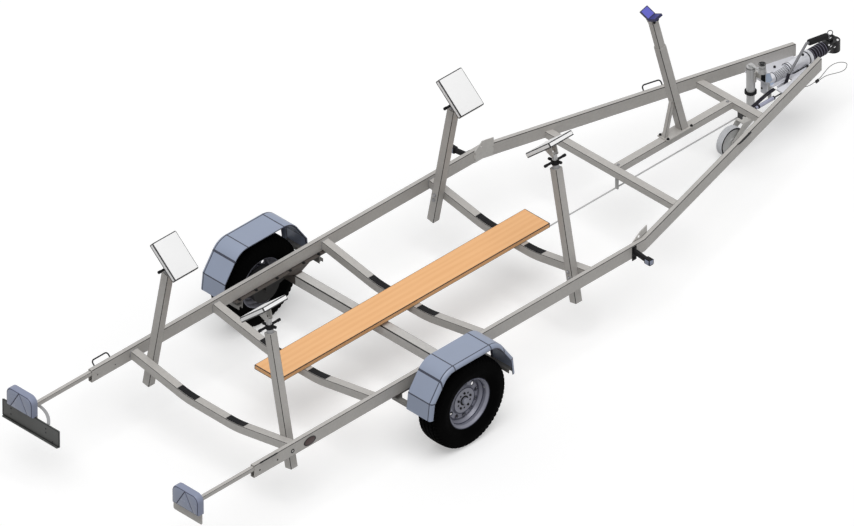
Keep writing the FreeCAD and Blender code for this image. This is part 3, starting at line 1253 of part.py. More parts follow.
def coupling_head():
    """Coupling head with its ball socket, shaft into the housing and hand catch."""
    half = HEAD_HALF_WIDTH
    socket_radius = BALL_RADIUS + SOCKET_GAP
    cup_low = BALL_Z - SOCKET_MOUTH_DROP
    cup_top = cup_low + HEAD_HEIGHT
    shaft = rod(Vector(0, HOUSING_FRONT_Y, COUPLING_Z), Vector(0, HEAD_REAR_Y + HEAD_COLLAR_LENGTH, COUPLING_Z),
                DRAWBAR_TUBE_RADIUS)
    collar = rod(Vector(0, HEAD_REAR_Y, COUPLING_Z), Vector(0, HEAD_REAR_Y + HEAD_COLLAR_LENGTH, COUPLING_Z), half)
    neck_start = HEAD_REAR_Y + HEAD_COLLAR_LENGTH / 2
    neck_half = half - HEAD_NECK_INSET
    neck = prism([
        Vector(-neck_half, neck_start, COUPLING_Z - neck_half),
        Vector(-neck_half, neck_start, COUPLING_Z + neck_half),
        Vector(-neck_half, BALL_Y, cup_top), Vector(-neck_half, BALL_Y, cup_low)],
        X_AXIS * 2 * neck_half)
    cup = rod(Vector(0, BALL_Y, cup_low), Vector(0, BALL_Y, cup_top), HEAD_FRONT_Y - BALL_Y)
    catch_low = Vector(0, HEAD_REAR_Y + HEAD_COLLAR_LENGTH, COUPLING_Z + half)
    catch_end = Vector(0, BALL_Y, COUPLING_Z + half + CATCH_RISE)
    catch = box_bar(catch_low, catch_end, X_AXIS, CATCH_WIDTH, CATCH_THICKNESS, CATCH_CORNER)
    post = rod(Vector(0, BALL_Y - CATCH_POST_BACK, cup_low + SOCKET_DEPTH + SOCKET_ROOF),
               Vector(0, BALL_Y - CATCH_POST_BACK, COUPLING_Z + half), CATCH_POST_RADIUS)
    bore = rod(Vector(0, BALL_Y, cup_low - REACH), Vector(0, BALL_Y, cup_low + SOCKET_DEPTH), socket_radius)
    return joined([shaft, collar, neck, cup, catch, post]).cut(bore)


def handbrake_lever():
    """Bent lever with its hub and grip, turning on the bracket's pin."""
    pivot = Vector(LEVER_X, LEVER_PIVOT_Y, LEVER_PIVOT_Z)
    knee = Vector(LEVER_X, *LEVER_KNEE)
    elbow = Vector(LEVER_X, *LEVER_ELBOW)
    tip = Vector(LEVER_X, *LEVER_TIP)
    half = X_AXIS * LEVER_HUB_LENGTH / 2
    radius = LEVER_ROD_RADIUS
    ball = [Part.makeSphere(radius, point) for point in (knee, elbow)]
    grip_start = elbow + (tip - elbow).normalize() * LEVER_GRIP_START
    lever = joined([
        rod(pivot - half, pivot + half, LEVER_HUB_RADIUS), rod(pivot, knee, radius),
        rod(knee, elbow, radius), rod(elbow, tip, radius)] + ball + [rod(grip_start, tip, LEVER_GRIP_RADIUS)])
    bore = rod(pivot - half * 2, pivot + half * 2, LEVER_PIN_RADIUS + SLIDE_GAP)
    return lever.cut(bore)


def brake_linkage():
    """Gas spring beside the housing, twin pull bars behind it, and the brake rod back to the axle."""
    start = Vector(SPRING_X, SPRING_REAR_Y, SPRING_Z)
    end = start + Y_AXIS * SPRING_LENGTH
    rod_end = end + Y_AXIS * SPRING_ROD_LENGTH
    hanger_y = FRONT_MEMBER_YS[1] + FRONT_MEMBER_WIDTH - HANGER_SHEET
    half = HANGER_WIDTH / 2
    spring = joined([
        rod(start, end, SPRING_RADIUS), rod(end - Y_AXIS, rod_end, SPRING_ROD_RADIUS),
        rod(Vector(SPRING_X, hanger_y, SPRING_Z), start + Y_AXIS, SPRING_ROD_RADIUS),
        block((SPRING_X - half, SPRING_X + half), (hanger_y - HANGER_SHEET, hanger_y),
              (SPRING_Z - half, RAIL_BOTTOM))])
    rear = Vector(BRAKE_ROD_X, BRAKE_ROD_REAR_Y, BRAKE_ROD_Z)
    front = Vector(BRAKE_ROD_X, HOUSING_REAR_Y, BRAKE_ROD_Z)
    guide_y = FRONT_MEMBER_YS[0] + FRONT_MEMBER_WIDTH / 2
    rod_low = BRAKE_ROD_Z - half
    brake = joined([
        rod(rear, front, BRAKE_ROD_RADIUS),
        block((-BRAKE_BEAM_HALF, BRAKE_BEAM_HALF), (BRAKE_ROD_REAR_Y, BRAKE_ROD_REAR_Y + HANGER_SHEET),
              (rod_low, BRAKE_ROD_Z + half)),
        block((BRAKE_ROD_X - half, BRAKE_ROD_X + half), (guide_y - HANGER_SHEET / 2, guide_y + HANGER_SHEET / 2),
              (rod_low, RAIL_BOTTOM)),
        block((BRAKE_ROD_X - half, BRAKE_ROD_X + half), (HOUSING_REAR_Y - HANGER_SHEET, HOUSING_REAR_Y),
              (rod_low, RAIL_BOTTOM + HOUSING_BASE_THICKNESS))])
    bars = []
    bar_hanger_y, bar_hanger_z = PULL_BAR_POINTS[0]
    for x in PULL_BAR_XS:
        points = [Vector(x, y, z) for y, z in PULL_BAR_POINTS]
        bars += [rod(points[i], points[i + 1], PULL_BAR_RADIUS) for i in range(len(points) - 1)]
        bars += [Part.makeSphere(PULL_BAR_RADIUS, point) for point in points]
    bars.append(block((PULL_BAR_XS[0] - half, PULL_BAR_XS[1] + half), (bar_hanger_y - HANGER_SHEET, bar_hanger_y),
                      (bar_hanger_z - half, RAIL_BOTTOM)))
    behind = block((-OVERALL, OVERALL), (0, HOUSING_REAR_Y), (0, OVERALL))
    return Part.makeCompound([spring, brake, joined(bars).common(behind)])


# ---------------------------------------------------------------- jockey wheel
def jockey_point(z):
    """Point on the jockey tube's centre line."""
    return Vector(JOCKEY_X, JOCKEY_Y, z)


def jockey_tube():
    """Outer tube with its bottom ring and top cap."""
    inner = JOCKEY_TUBE_RADIUS - JOCKEY_TUBE_WALL
    tube = pipe(jockey_point(JOCKEY_TUBE_BOTTOM), jockey_point(JOCKEY_TUBE_TOP), JOCKEY_TUBE_RADIUS, JOCKEY_TUBE_WALL)
    ring = rod(jockey_point(JOCKEY_TUBE_BOTTOM), jockey_point(JOCKEY_TUBE_BOTTOM + JOCKEY_RING_HEIGHT), JOCKEY_RING_RADIUS)
    ring = ring.cut(rod(jockey_point(0), jockey_point(JOCKEY_TUBE_TOP), inner))
    cap_low = JOCKEY_TUBE_TOP - JOCKEY_CAP_RISE
    cap = rod(jockey_point(cap_low), jockey_point(JOCKEY_TUBE_TOP + JOCKEY_CAP_RISE), JOCKEY_TUBE_RADIUS)
    return joined([tube, ring, cap])


def jockey_crank():
    """Crank arm on the tube's cap, with its upright grip."""
    low = JOCKEY_TUBE_TOP + JOCKEY_CAP_RISE
    arm_z = low + CRANK_ARM_RADIUS
    end = Vector(JOCKEY_X + CRANK_REACH, JOCKEY_Y, arm_z)
    grip_low = end - Z_AXIS * CRANK_ARM_RADIUS
    return joined([
        rod(jockey_point(low), jockey_point(arm_z + CRANK_ARM_RADIUS), CRANK_HUB_RADIUS),
        rod(jockey_point(arm_z), end, CRANK_ARM_RADIUS),
        rod(grip_low, end + Z_AXIS * CRANK_GRIP_HEIGHT, CRANK_GRIP_RADIUS),
        rod(grip_low, grip_low + Z_AXIS * CRANK_FLANGE_HEIGHT, CRANK_GRIP_RADIUS + CRANK_FLANGE_STEP)])


def jockey_clamp():
    """Half shell on the front of the jockey tube, with its arm to the housing's rear bracket."""
    shell = rod(jockey_point(CLAMP_BOTTOM), jockey_point(CLAMP_TOP), JOCKEY_TUBE_RADIUS + CLAMP_WALL)
    front = block((-OVERALL, OVERALL), (JOCKEY_Y, JOCKEY_Y + OVERALL), (0, OVERALL))
    arm_y = JOCKEY_Y + JOCKEY_TUBE_RADIUS
    arm = block((JOCKEY_X, CHEEK_XS[0]), (arm_y, arm_y + CLAMP_ARM_THICKNESS), CLAMP_ARM_ZS)
    body = joined([shell.common(front), arm])
    return body.cut(rod(jockey_point(0), jockey_point(OVERALL), JOCKEY_TUBE_RADIUS))


def jockey_leg():
    """Inner tube that slides in the outer one."""
    radius = JOCKEY_TUBE_RADIUS - JOCKEY_TUBE_WALL - SLIDE_GAP
    top = JOCKEY_TUBE_BOTTOM + JOCKEY_LEG_INSERTED
    return pipe(jockey_point(JOCKEY_LEG_BOTTOM), jockey_point(top), radius, JOCKEY_LEG_WALL)


def jockey_fork():
    """Trailing fork that swivels under the leg, with the wheel's axle."""
    radius = JOCKEY_TUBE_RADIUS - JOCKEY_TUBE_WALL - SLIDE_GAP
    plug_radius = radius - JOCKEY_LEG_WALL - SLIDE_GAP
    top = JOCKEY_LEG_BOTTOM - SLIDE_GAP
    low = top - FORK_TOP_THICKNESS
    half = JOCKEY_WHEEL_WIDTH / 2 + FORK_GAP
    axle = Vector(JOCKEY_X, JOCKEY_Y - JOCKEY_TRAIL, JOCKEY_WHEEL_RADIUS)
    outer = half + FORK_PLATE
    bridge = block((JOCKEY_X - outer, JOCKEY_X + outer), (JOCKEY_Y - FORK_BRIDGE_BACK, JOCKEY_Y + radius), (low, top))
    pieces = [bridge, rod(jockey_point(low), jockey_point(top + FORK_PLUG_LENGTH), plug_radius)]
    for side in (-1, 1):
        x = JOCKEY_X + side * half
        thick = X_AXIS * side * FORK_PLATE
        pieces.append(prism([
            Vector(x, JOCKEY_Y + radius, top), Vector(x, JOCKEY_Y - FORK_BRIDGE_BACK, top),
            Vector(x, axle.y - FORK_AXLE_BOSS, axle.z), Vector(x, axle.y + FORK_AXLE_BOSS, axle.z)], thick))
        pieces.append(rod(Vector(x, axle.y, axle.z), Vector(x, axle.y, axle.z) + thick, FORK_AXLE_BOSS))
    reach = X_AXIS * (outer + FORK_AXLE_END)
    pieces.append(rod(axle - reach, axle + reach, JOCKEY_AXLE_RADIUS))
    return joined(pieces)


def jockey_wheel():
    """Solid wheel with a flat disc and a rubber rim."""
    half = JOCKEY_WHEEL_WIDTH / 2
    rim = JOCKEY_WHEEL_RADIUS
    bore = JOCKEY_AXLE_RADIUS + SLIDE_GAP
    disc = rim - JOCKEY_TYRE_DEPTH
    edge = JOCKEY_TREAD_EDGE
    profile = [
        (bore, -half), (disc, -half), (disc, 1 - half), (rim - edge, 1 - half), (rim, edge - half),
        (rim, half - edge), (rim - edge, half - 1), (disc, half - 1), (disc, half), (bore, half)]
    return revolved(profile, Vector(JOCKEY_X, JOCKEY_Y - JOCKEY_TRAIL, rim), X_AXIS)


# ---------------------------------------------------------------- breakaway cable
def ferrule_place():
    """Start and direction of the ferrule, and the step down to its second hole."""
    start = Vector(*CABLE_POINTS[FERRULE_RUN_COUNT])
    run = (Vector(*CABLE_POINTS[FERRULE_RUN_COUNT + 1]) - start).normalize()
    drop = X_AXIS.cross(run) * -FERRULE_SPACING
    return start + run * FERRULE_START, run, drop


def cable_tube():
    """Thin rope along its bends: straight runs joined by tangent arcs."""
    ferrule, along, drop = ferrule_place()
    points = [Vector(*point) for point in CABLE_POINTS]
    points.append(ferrule + along * FERRULE_LENGTH + drop)
    edges = []
    start = points[0]
    for index in range(1, len(points) - 1):
        corner = points[index]
        back = points[index - 1] - corner
        ahead = points[index + 1] - corner
        turn = math.pi - back.getAngle(ahead)
        short = min(back.Length, ahead.Length)
        setback = 0.45 * short
        radius = setback / math.tan(turn / 2)
        print("cable radius", round(radius), "run", round(back.Length))
        enter = corner + back.normalize() * setback
        leave = corner + ahead.normalize() * setback
        inward = (enter + leave) * 0.5 - corner
        distance = math.sqrt(setback ** 2 + radius ** 2)
        middle = corner + inward.normalize() * (distance - radius)
        edges.append(Part.LineSegment(start, enter).toShape())
        edges.append(Part.Arc(enter, middle, leave).toShape())
        start = leave
    edges.append(Part.LineSegment(start, points[-1]).toShape())
    path = Part.Wire(edges)
    circle = Part.Wire(Part.makeCircle(CABLE_RADIUS, points[0], points[1] - points[0]))
    tube = path.makePipeShell([circle], True, True)
    print("cable length", round(path.Length, 1), "ratio", tube.Volume / (math.pi * CABLE_RADIUS ** 2 * path.Length))
    return tube


def cable_ferrule():
    """Crimped double ferrule: the rope runs through one hole and its end is held in the other."""
    start, along, drop = ferrule_place()
    end = start + along * FERRULE_LENGTH
    web = box_bar(start + drop / 2, end + drop / 2, X_AXIS, 2 * FERRULE_RADIUS, FERRULE_SPACING, 1.0)
    body = joined([rod(start, end, FERRULE_RADIUS), rod(start + drop, end + drop, FERRULE_RADIUS), web])
    return body.cut(rod(start - along, end + along, CABLE_RADIUS + FERRULE_BORE_GAP))


def main():
    """Write every sub-part."""
    os.makedirs("parts", exist_ok=True)
    sided = {
        "rail": rail(), "mudguard": mudguard(), "tyre": tyre(), "wheel_rim": wheel_rim(),
        "hub_drum": hub_drum(), "lamp_arm": lamp_arm(), "rear_lamp": rear_lamp(),
    }
    for end, y in POLE_YS.items():
        sided["pole_" + end] = support_pole(y)
        sided["pad_spindle_" + end] = pad_spindle(y)
        sided["pad_hinge_" + end] = pad_hinge(y)
        sided["hull_pad_" + end] = hull_pad(y)
    arm = sided.pop("lamp_arm")
    right_arm = joined([arm, lamp_bracket(BRACKET_INNER_X, BRACKET_OUTER_X, BRACKET_BOTTOM)])
    left_arm = joined([arm, lamp_bracket(LEFT_BRACKET_INNER_X, BRACKET_OUTER_X, BRACKET_BOTTOM)])
    save("lamp_arm_right", right_arm)
    save("lamp_arm_left", mirrored(left_arm))
    for name, shape in sided.items():
        save(name + "_right", shape)
        save(name + "_left", mirrored(shape))
    gusset = kink_gusset()
    save("kink_gussets", Part.makeCompound([gusset, mirrored(gusset)]))
    for index, rear_y in enumerate(MEMBER_REAR_YS, start=1):
        save("cross_member_%d" % index, cross_member(rear_y))
    marker = side_marker()
    save("side_markers", Part.makeCompound([marker, mirrored(marker)]))
    nuts = [star_nut(y) for y in POLE_YS.values()]
    save("star_nuts", Part.makeCompound(nuts + [mirrored(nut) for nut in nuts]))
    single = {
        "front_frame": front_frame, "keel_plank": keel_plank, "torsion_axle": torsion_axle,
        "swing_arms": swing_arms, "mudguard_stays": mudguard_stays, "bow_post": bow_post,
        "bow_mast": bow_mast, "bow_block": bow_block, "plate_holder": plate_holder,
        "lashing_bows": lashing_bows, "overrun_housing": overrun_housing, "bellows": bellows,
        "coupling_head": coupling_head, "handbrake_lever": handbrake_lever,
        "brake_linkage": brake_linkage, "jockey_tube": jockey_tube, "jockey_crank": jockey_crank,
        "jockey_clamp": jockey_clamp, "jockey_leg": jockey_leg, "jockey_fork": jockey_fork,
        "jockey_wheel": jockey_wheel, "breakaway_cable": cable_tube, "cable_ferrule": cable_ferrule,
    }
    for name, make in single.items():
        save(name, make())


main()
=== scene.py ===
"""Boat trailer: finishes, tyres, lamps, fastenings, cable and studio.

The part's frame is in metres. Fittings are placed in millimetres from the datum of the solids,
just ahead of the wheels, and at() moves them to the part's frame. side is -1 for left, 1 for right.
"""
import math

import bmesh
import bpy
from mathutils import Matrix, Vector


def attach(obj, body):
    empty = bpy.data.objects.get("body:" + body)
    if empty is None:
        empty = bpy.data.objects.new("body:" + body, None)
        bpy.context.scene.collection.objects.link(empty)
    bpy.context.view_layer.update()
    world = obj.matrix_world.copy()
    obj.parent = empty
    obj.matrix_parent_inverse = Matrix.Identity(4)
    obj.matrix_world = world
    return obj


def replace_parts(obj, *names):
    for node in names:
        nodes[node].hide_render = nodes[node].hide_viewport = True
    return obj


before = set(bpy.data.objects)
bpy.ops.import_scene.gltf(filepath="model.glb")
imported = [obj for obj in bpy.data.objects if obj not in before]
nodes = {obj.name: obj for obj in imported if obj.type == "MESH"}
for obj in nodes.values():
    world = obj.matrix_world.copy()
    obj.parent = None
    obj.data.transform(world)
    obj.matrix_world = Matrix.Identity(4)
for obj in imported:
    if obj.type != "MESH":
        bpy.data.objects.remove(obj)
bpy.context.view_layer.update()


X = Vector((1.0, 0.0, 0.0))
Y = Vector((0.0, 1.0, 0.0))
Z = Vector((0.0, 0.0, 1.0))
SIDES = (-1, 1)
DATUM_Y = 1033.0
WHEEL_X = 950.0
WHEEL_Y = -36.0
HUB_Z = 325.0


def at(x, y, z):
    """Place in the part's frame, from millimetres of the datum."""
    return Vector((x, y - DATUM_Y, z)) / 1000.0


def side_name(side):
    """Left or right for -1 or 1."""
    return "left" if side < 0 else "right"


# ---------------------------------------------------------------- shader tools
def feed(tree, socket, operand):
    """Link a socket to another, or give it a plain value."""
    if hasattr(operand, "is_linked"):
        tree.links.new(operand, socket)
    else:
        socket.default_value = operand


def fill(tree, made, values):
    """Feed a node's inputs by name."""
    for key, value in values.items():
        feed(tree, made.inputs[key], value)
    return made


def node(tree, kind, settings=None, values=None):
    """One shader node with its settings and its inputs."""
    made = tree.nodes.new("ShaderNode" + kind)
    for key, value in (settings or {}).items():
        setattr(made, key, value)
    return fill(tree, made, values or {})


def math_node(tree, operation, *operands):
    """Math node; an operand is a socket or a number."""
    made = node(tree, "Math", {"operation": operation})
    for index, operand in enumerate(operands):
        feed(tree, made.inputs[index], operand)
    return made.outputs[0]


def largest(tree, first, *others):
    """Largest of several values."""
    for other in others:
        first = math_node(tree, "MAXIMUM", first, other)
    return first


def ramp(tree, value, low, high, start, end):
    """Value mapped from one range to another, clamped."""
    return node(tree, "MapRange", values={"Value": value, "From Min": low, "From Max": high, "To Min": start,
                                          "To Max": end}).outputs["Result"]


def blend_colour(tree, factor, first, second, mode="MIX"):
    """Colour mix; each operand is a socket or a value."""
    made = node(tree, "Mix", {"data_type": "RGBA", "blend_type": mode})
    for index, operand in ((0, factor), (6, first), (7, second)):
        feed(tree, made.inputs[index], operand)
    return made.outputs[2]


def toned(tree, colour, factor):
    """Colour made darker or lighter by a factor."""
    grey = node(tree, "CombineColor")
    for channel in grey.inputs:
        tree.links.new(factor, channel)
    return blend_colour(tree, 1.0, colour, grey.outputs[0], "MULTIPLY")


def object_point(tree):
    """Object coordinates socket."""
    return node(tree, "TexCoord").outputs["Object"]


def split(tree, point):
    """Three coordinates of a point."""
    made = node(tree, "SeparateXYZ")
    tree.links.new(point, made.inputs[0])
    return made.outputs


def stretched(tree, point, scale):
    """Point scaled per axis."""
    return node(tree, "Mapping", values={"Vector": point, "Scale": scale}).outputs["Vector"]


def noise(tree, point, scale, detail=3.0):
    """Noise value at a point."""
    return node(tree, "TexNoise", values={"Vector": point, "Scale": scale, "Detail": detail}).outputs["Fac"]


# ---------------------------------------------------------------- shader groups
def new_group(name, inputs, outputs):
    """Empty node group with named sockets and its two ends."""
    group = bpy.data.node_groups.new(name, "ShaderNodeTree")
    for direction, sockets in (("INPUT", inputs), ("OUTPUT", outputs)):
        for label, kind in sockets:
            group.interface.new_socket(label, in_out=direction, socket_type="NodeSocket" + kind)
    entry = group.nodes.new("NodeGroupInput")
    leave = group.nodes.new("NodeGroupOutput")
    return group, entry, leave


def spangle_group():
    """Zinc crystals and cloudy tone of galvanising."""
    group, entry, leave = new_group(
        "zinc spangle", (("Colour", "Color"), ("Contrast", "Float")),
        (("Colour", "Color"), ("Roughness", "Float"), ("Height", "Float")))
    point = object_point(group)
    crystal = node(group, "TexVoronoi", values={"Vector": point, "Scale": 85.0, "Randomness": 1.0})
    shades = node(group, "SeparateColor", values={"Color": crystal.outputs["Color"]}).outputs
    crystal_tone = math_node(group, "SUBTRACT", shades[0], 0.5)
    cloud = math_node(group, "SUBTRACT", noise(group, point, 7.0, 4.0), 0.5)
    streak = math_node(group, "SUBTRACT", noise(group, stretched(group, point, (1.0, 0.25, 1.0)), 30.0), 0.5)
    tone = math_node(group, "MULTIPLY_ADD", cloud, 1.3, crystal_tone)
    tone = math_node(group, "ADD", tone, streak)
    tone = math_node(group, "MULTIPLY", tone, entry.outputs["Contrast"])
    fill(group, leave, {
        "Colour": toned(group, entry.outputs["Colour"], math_node(group, "ADD", tone, 1.0)),
        "Roughness": ramp(group, shades[1], 0.0, 1.0, 0.42, 0.58), "Height": crystal_tone})
    return group


def corner_shade_group():
    """Painted shade along the rounded corners of square tube: the corner colour where the face's normal lies off the
    main axes.
    """
    group, entry, leave = new_group(
        "painted tube corner shade", (("Colour", "Color"), ("Corner Shade", "Color")), (("Colour", "Color"),))
    size = node(group, "VectorMath", {"operation": "ABSOLUTE"})
    group.links.new(node(group, "NewGeometry").outputs["True Normal"], size.inputs[0])
    # the mask marks the rounded corners, where the shade is painted
    mask = ramp(group, largest(group, *split(group, size.outputs[0])), 0.957, 0.945, 0.0, 1.0)
    fill(group, leave, {"Colour": blend_colour(group, mask, entry.outputs["Colour"], entry.outputs["Corner Shade"])})
    return group


def mottle_group():
    """Uneven tone and fine surface texture of paint, plastic or rubber."""
    group, entry, leave = new_group(
        "mottle", (("Colour", "Color"), ("Contrast", "Float"), ("Patch Scale", "Float"), ("Grain Scale", "Float")),
        (("Colour", "Color"), ("Roughness Shift", "Float"), ("Height", "Float")))
    point = object_point(group)
    patch = math_node(group, "SUBTRACT", noise(group, point, entry.outputs["Patch Scale"], 4.0), 0.5)
    tone = math_node(group, "MULTIPLY_ADD", patch, entry.outputs["Contrast"], 1.0)
    fill(group, leave, {
        "Colour": toned(group, entry.outputs["Colour"], tone), "Roughness Shift": patch,
        "Height": noise(group, point, entry.outputs["Grain Scale"], 2.0)})
    return group


def grain_group():
    """Long wood grain along Y, with slow bands and fine pores."""
    group, entry, leave = new_group(
        "board grain", (("Light", "Color"), ("Dark", "Color")), (("Colour", "Color"), ("Height", "Float")))
    point = object_point(group)
    slow = noise(group, stretched(group, point, (3.0, 0.35, 3.0)), 9.0)
    bands = node(group, "TexWave", {"wave_type": "BANDS", "bands_direction": "X"}, {
        "Vector": stretched(group, point, (1.0, 0.06, 1.0)), "Scale": 7.0, "Distortion": 5.0, "Detail": 3.0,
        "Detail Scale": 1.2})
    pores = noise(group, stretched(group, point, (1.0, 0.03, 1.0)), 220.0, 2.0)
    mixed = math_node(group, "MULTIPLY_ADD", bands.outputs["Fac"], 0.45, math_node(group, "MULTIPLY", slow, 0.55))
    mixed = math_node(group, "MULTIPLY_ADD", math_node(group, "SUBTRACT", pores, 0.5), 0.5, mixed)
    fill(group, leave, {
        "Colour": blend_colour(group, ramp(group, mixed, 0.2, 0.85, 0.0, 1.0), entry.outputs["Light"],
                               entry.outputs["Dark"]), "Height": pores})
    return group


spangle = spangle_group()
painted_corner_shade = corner_shade_group()
mottle = mottle_group()
board_grain = grain_group()


def use_group(tree, group, values):
    """Place a group; values are numbers, colours or sockets."""
    made = tree.nodes.new("ShaderNodeGroup")
    made.node_tree = group
    return fill(tree, made, values).outputs


# ---------------------------------------------------------------- materials
def rgb(red, green, blue):
    """Linear colour from 0-255 display values."""
    def linear(value):
        share = value / 255.0
        return share / 12.92 if share <= 0.04045 else ((share + 0.055) / 1.055) ** 2.4
    return linear(red), linear(green), linear(blue), 1.0


def new_material(name):
    """Material with one Principled shader."""
    material = bpy.data.materials.new(name)
    material.use_nodes = True
    tree = material.node_tree
    tree.nodes.clear()
    shader = node(tree, "BsdfPrincipled")
    node(tree, "OutputMaterial", values={"Surface": shader.outputs["BSDF"]})
    return material, tree, shader


def add_bump(tree, shader, height, strength, distance):
    """Bump from a height socket."""
    bump = node(tree, "Bump", values={"Height": height, "Strength": strength, "Distance": distance})
    tree.links.new(bump.outputs["Normal"], shader.inputs["Normal"])


def two_tone(axis, near, far, limit, blur=0.001):
    """Colour that changes at a distance along one axis from the part's middle."""
    def colour(tree):
        reach = math_node(tree, "ABSOLUTE", split(tree, object_point(tree))[axis])
        return blend_colour(tree, ramp(tree, reach, limit - blur, limit + blur, 0.0, 1.0), near, far)
    return colour


def zinc(name, colour, corner=None, contrast=0.07, metallic=0.1):
    """Galvanised steel; where corner is a colour, painted shade along the rounded corners of its tube."""
    material, tree, shader = new_material(name)
    made = use_group(tree, spangle, {"Colour": colour(tree) if callable(colour) else colour, "Contrast": contrast})
    top = made["Colour"]
    # corner is the colour of the painted shade along the rounded corners
    if corner:
        top = use_group(tree, painted_corner_shade, {"Colour": top, "Corner Shade": corner})["Colour"]
    fill(tree, shader, {"Base Color": top, "Roughness": made["Roughness"], "Metallic": metallic})
    add_bump(tree, shader, made["Height"], 0.15, 0.0003)
    return material


def moulded(name, colour, roughness, contrast=0.12, patches=6.0, grain=700.0, bump=0.1, metallic=0.0, coat=0.0,
            specular=0.5, lines=None):
    """Paint, plastic or rubber with an uneven tone and a fine grain; lines makes the mask of its dark lines."""
    material, tree, shader = new_material(name)
    made = use_group(tree, mottle, {"Colour": colour(tree) if callable(colour) else colour, "Contrast": contrast,
                                    "Patch Scale": patches, "Grain Scale": grain})
    top = made["Colour"]
    if lines:
        top = blend_colour(tree, lines(tree), top, rgb(12, 12, 13))
    fill(tree, shader, {
        "Base Color": top, "Metallic": metallic, "Coat Weight": coat, "Specular IOR Level": specular,
        "Roughness": math_node(tree, "MULTIPLY_ADD", made["Roughness Shift"], 0.25, roughness)})
    add_bump(tree, shader, made["Height"], bump, 0.0004)
    return material


def box_edges(tree, spans, line):
    """Mask of a box's edges: the places within line of two of its three pairs of faces."""
    near = [math_node(tree, "GREATER_THAN", math_node(tree, "ABSOLUTE", value), half - line) for value, half in spans]
    total = math_node(tree, "ADD", math_node(tree, "ADD", near[0], near[1]), near[2])
    return math_node(tree, "GREATER_THAN", total, 1.5)


PAD_TILT = math.radians(41.6)
PAD_LENGTH = 0.285
PAD_WIDTH = 0.215
PAD_THICKNESS = 0.036
PAD_ALONG = 1.22903
PAD_RISE = 0.77079
PAD_MIDDLE_Y = -1.0205
PAD_SPREAD_Y = 1.2975


def pad_edges(tree):
    """Mask of the four pads' edges."""
    across, along, up = split(tree, object_point(tree))
    out = math_node(tree, "ABSOLUTE", across)
    cosine, sine = math.cos(PAD_TILT), math.sin(PAD_TILT)
    slope = math_node(tree, "MULTIPLY_ADD", out, cosine, math_node(tree, "MULTIPLY_ADD", up, sine, -PAD_ALONG))
    rise = math_node(tree, "MULTIPLY_ADD", out, -sine, math_node(tree, "MULTIPLY_ADD", up, cosine, -PAD_RISE))
    from_middle = math_node(tree, "ABSOLUTE", math_node(tree, "SUBTRACT", along, PAD_MIDDLE_Y))
    width = math_node(tree, "SUBTRACT", from_middle, PAD_SPREAD_Y)
    return box_edges(tree, ((slope, PAD_LENGTH / 2), (rise, PAD_THICKNESS / 2), (width, PAD_WIDTH / 2)), 0.0075)


def board_edges(tree):
    """Mask of the keel plank's edges."""
    across, along, up = split(tree, object_point(tree))
    return box_edges(tree, ((across, 0.116), (math_node(tree, "SUBTRACT", along, -0.655), 1.234),
                            (math_node(tree, "SUBTRACT", up, 0.4545), 0.0175)), 0.005)


GUARD_LIP_X = 1.032
GUARD_CREASES = (0.164, 0.282)
GUARD_KNEE_Z = 0.511


def crease_shade_lines(tree):
    """Mask of the painted shade in the guard's pressed creases: bend lines across it and the start of its outer lip.
    """
    across, along, up = split(tree, object_point(tree))
    along = math_node(tree, "ABSOLUTE", math_node(tree, "SUBTRACT", along, at(0, WHEEL_Y, 0).y))
    lip = math_node(tree, "COMPARE", math_node(tree, "ABSOLUTE", across), GUARD_LIP_X, 0.0038)
    bends = [math_node(tree, "COMPARE", along, place, 0.0046) for place in GUARD_CREASES]
    return largest(tree, lip, *bends, math_node(tree, "COMPARE", up, GUARD_KNEE_Z, 0.0042))


def guard_plastic():
    """Blue grey mudguard with painted shade in its pressed creases, which the bump also presses in."""
    material, tree, shader = new_material("guard plastic")
    made = use_group(tree, mottle, {"Colour": rgb(150, 160, 181), "Contrast": 0.1, "Patch Scale": 5.0,
                                    "Grain Scale": 900.0})
    mask = crease_shade_lines(tree)
    fill(tree, shader, {
        # the near-black navy in the creases is painted shade
        "Base Color": blend_colour(tree, math_node(tree, "MULTIPLY", mask, 0.9), made["Colour"], rgb(22, 24, 44)),
        "Roughness": math_node(tree, "MULTIPLY_ADD", made["Roughness Shift"], 0.3, 0.42)})
    height = math_node(tree, "SUBTRACT", math_node(tree, "MULTIPLY", made["Height"], 0.1), mask)
    add_bump(tree, shader, height, 0.4, 0.0015)
    return material


def board():
    """Light brown planed timber."""
    material, tree, shader = new_material("planed board")
    made = use_group(tree, board_grain, {"Light": rgb(247, 192, 136), "Dark": rgb(240, 181, 124)})
    fill(tree, shader, {
        "Base Color": blend_colour(tree, board_edges(tree), made["Colour"], rgb(40, 24, 12)), "Roughness": 0.55})
    add_bump(tree, shader, made["Height"], 0.12, 0.0006)
    return material


def ribbed_rubber(name, colour, ribs):
    """Rubber with fine ribs along one axis, for the bow block."""
    material, tree, shader = new_material(name)
    made = use_group(tree, mottle, {"Colour": colour, "Contrast": 0.15, "Patch Scale": 25.0, "Grain Scale": 800.0})
    wave = node(tree, "TexWave", {"wave_type": "BANDS", "bands_direction": "Y"}, {
        "Vector": object_point(tree), "Scale": ribs})
    fill(tree, shader, {"Base Color": made["Colour"], "Roughness": 0.6})
    add_bump(tree, shader, wave.outputs["Fac"], 0.3, 0.0008)
    return material


# in these zinc finishes the near-black last colour is painted shade along the rounded tube corners
steel = zinc("galvanised tube", rgb(187, 184, 180), rgb(8, 8, 7))
sheet_steel = zinc("galvanised sheet", rgb(204, 202, 198))
dark_steel = zinc("axle zinc", two_tone(0, rgb(196, 194, 191), rgb(74, 68, 64), 0.69, 0.0005), rgb(10, 10, 9), 0.09)
stay_steel = zinc("stay zinc", rgb(124, 122, 119), rgb(10, 10, 9), 0.09)
fastener = zinc("bright zinc", rgb(158, 158, 160), None, 0.05, 0.6)
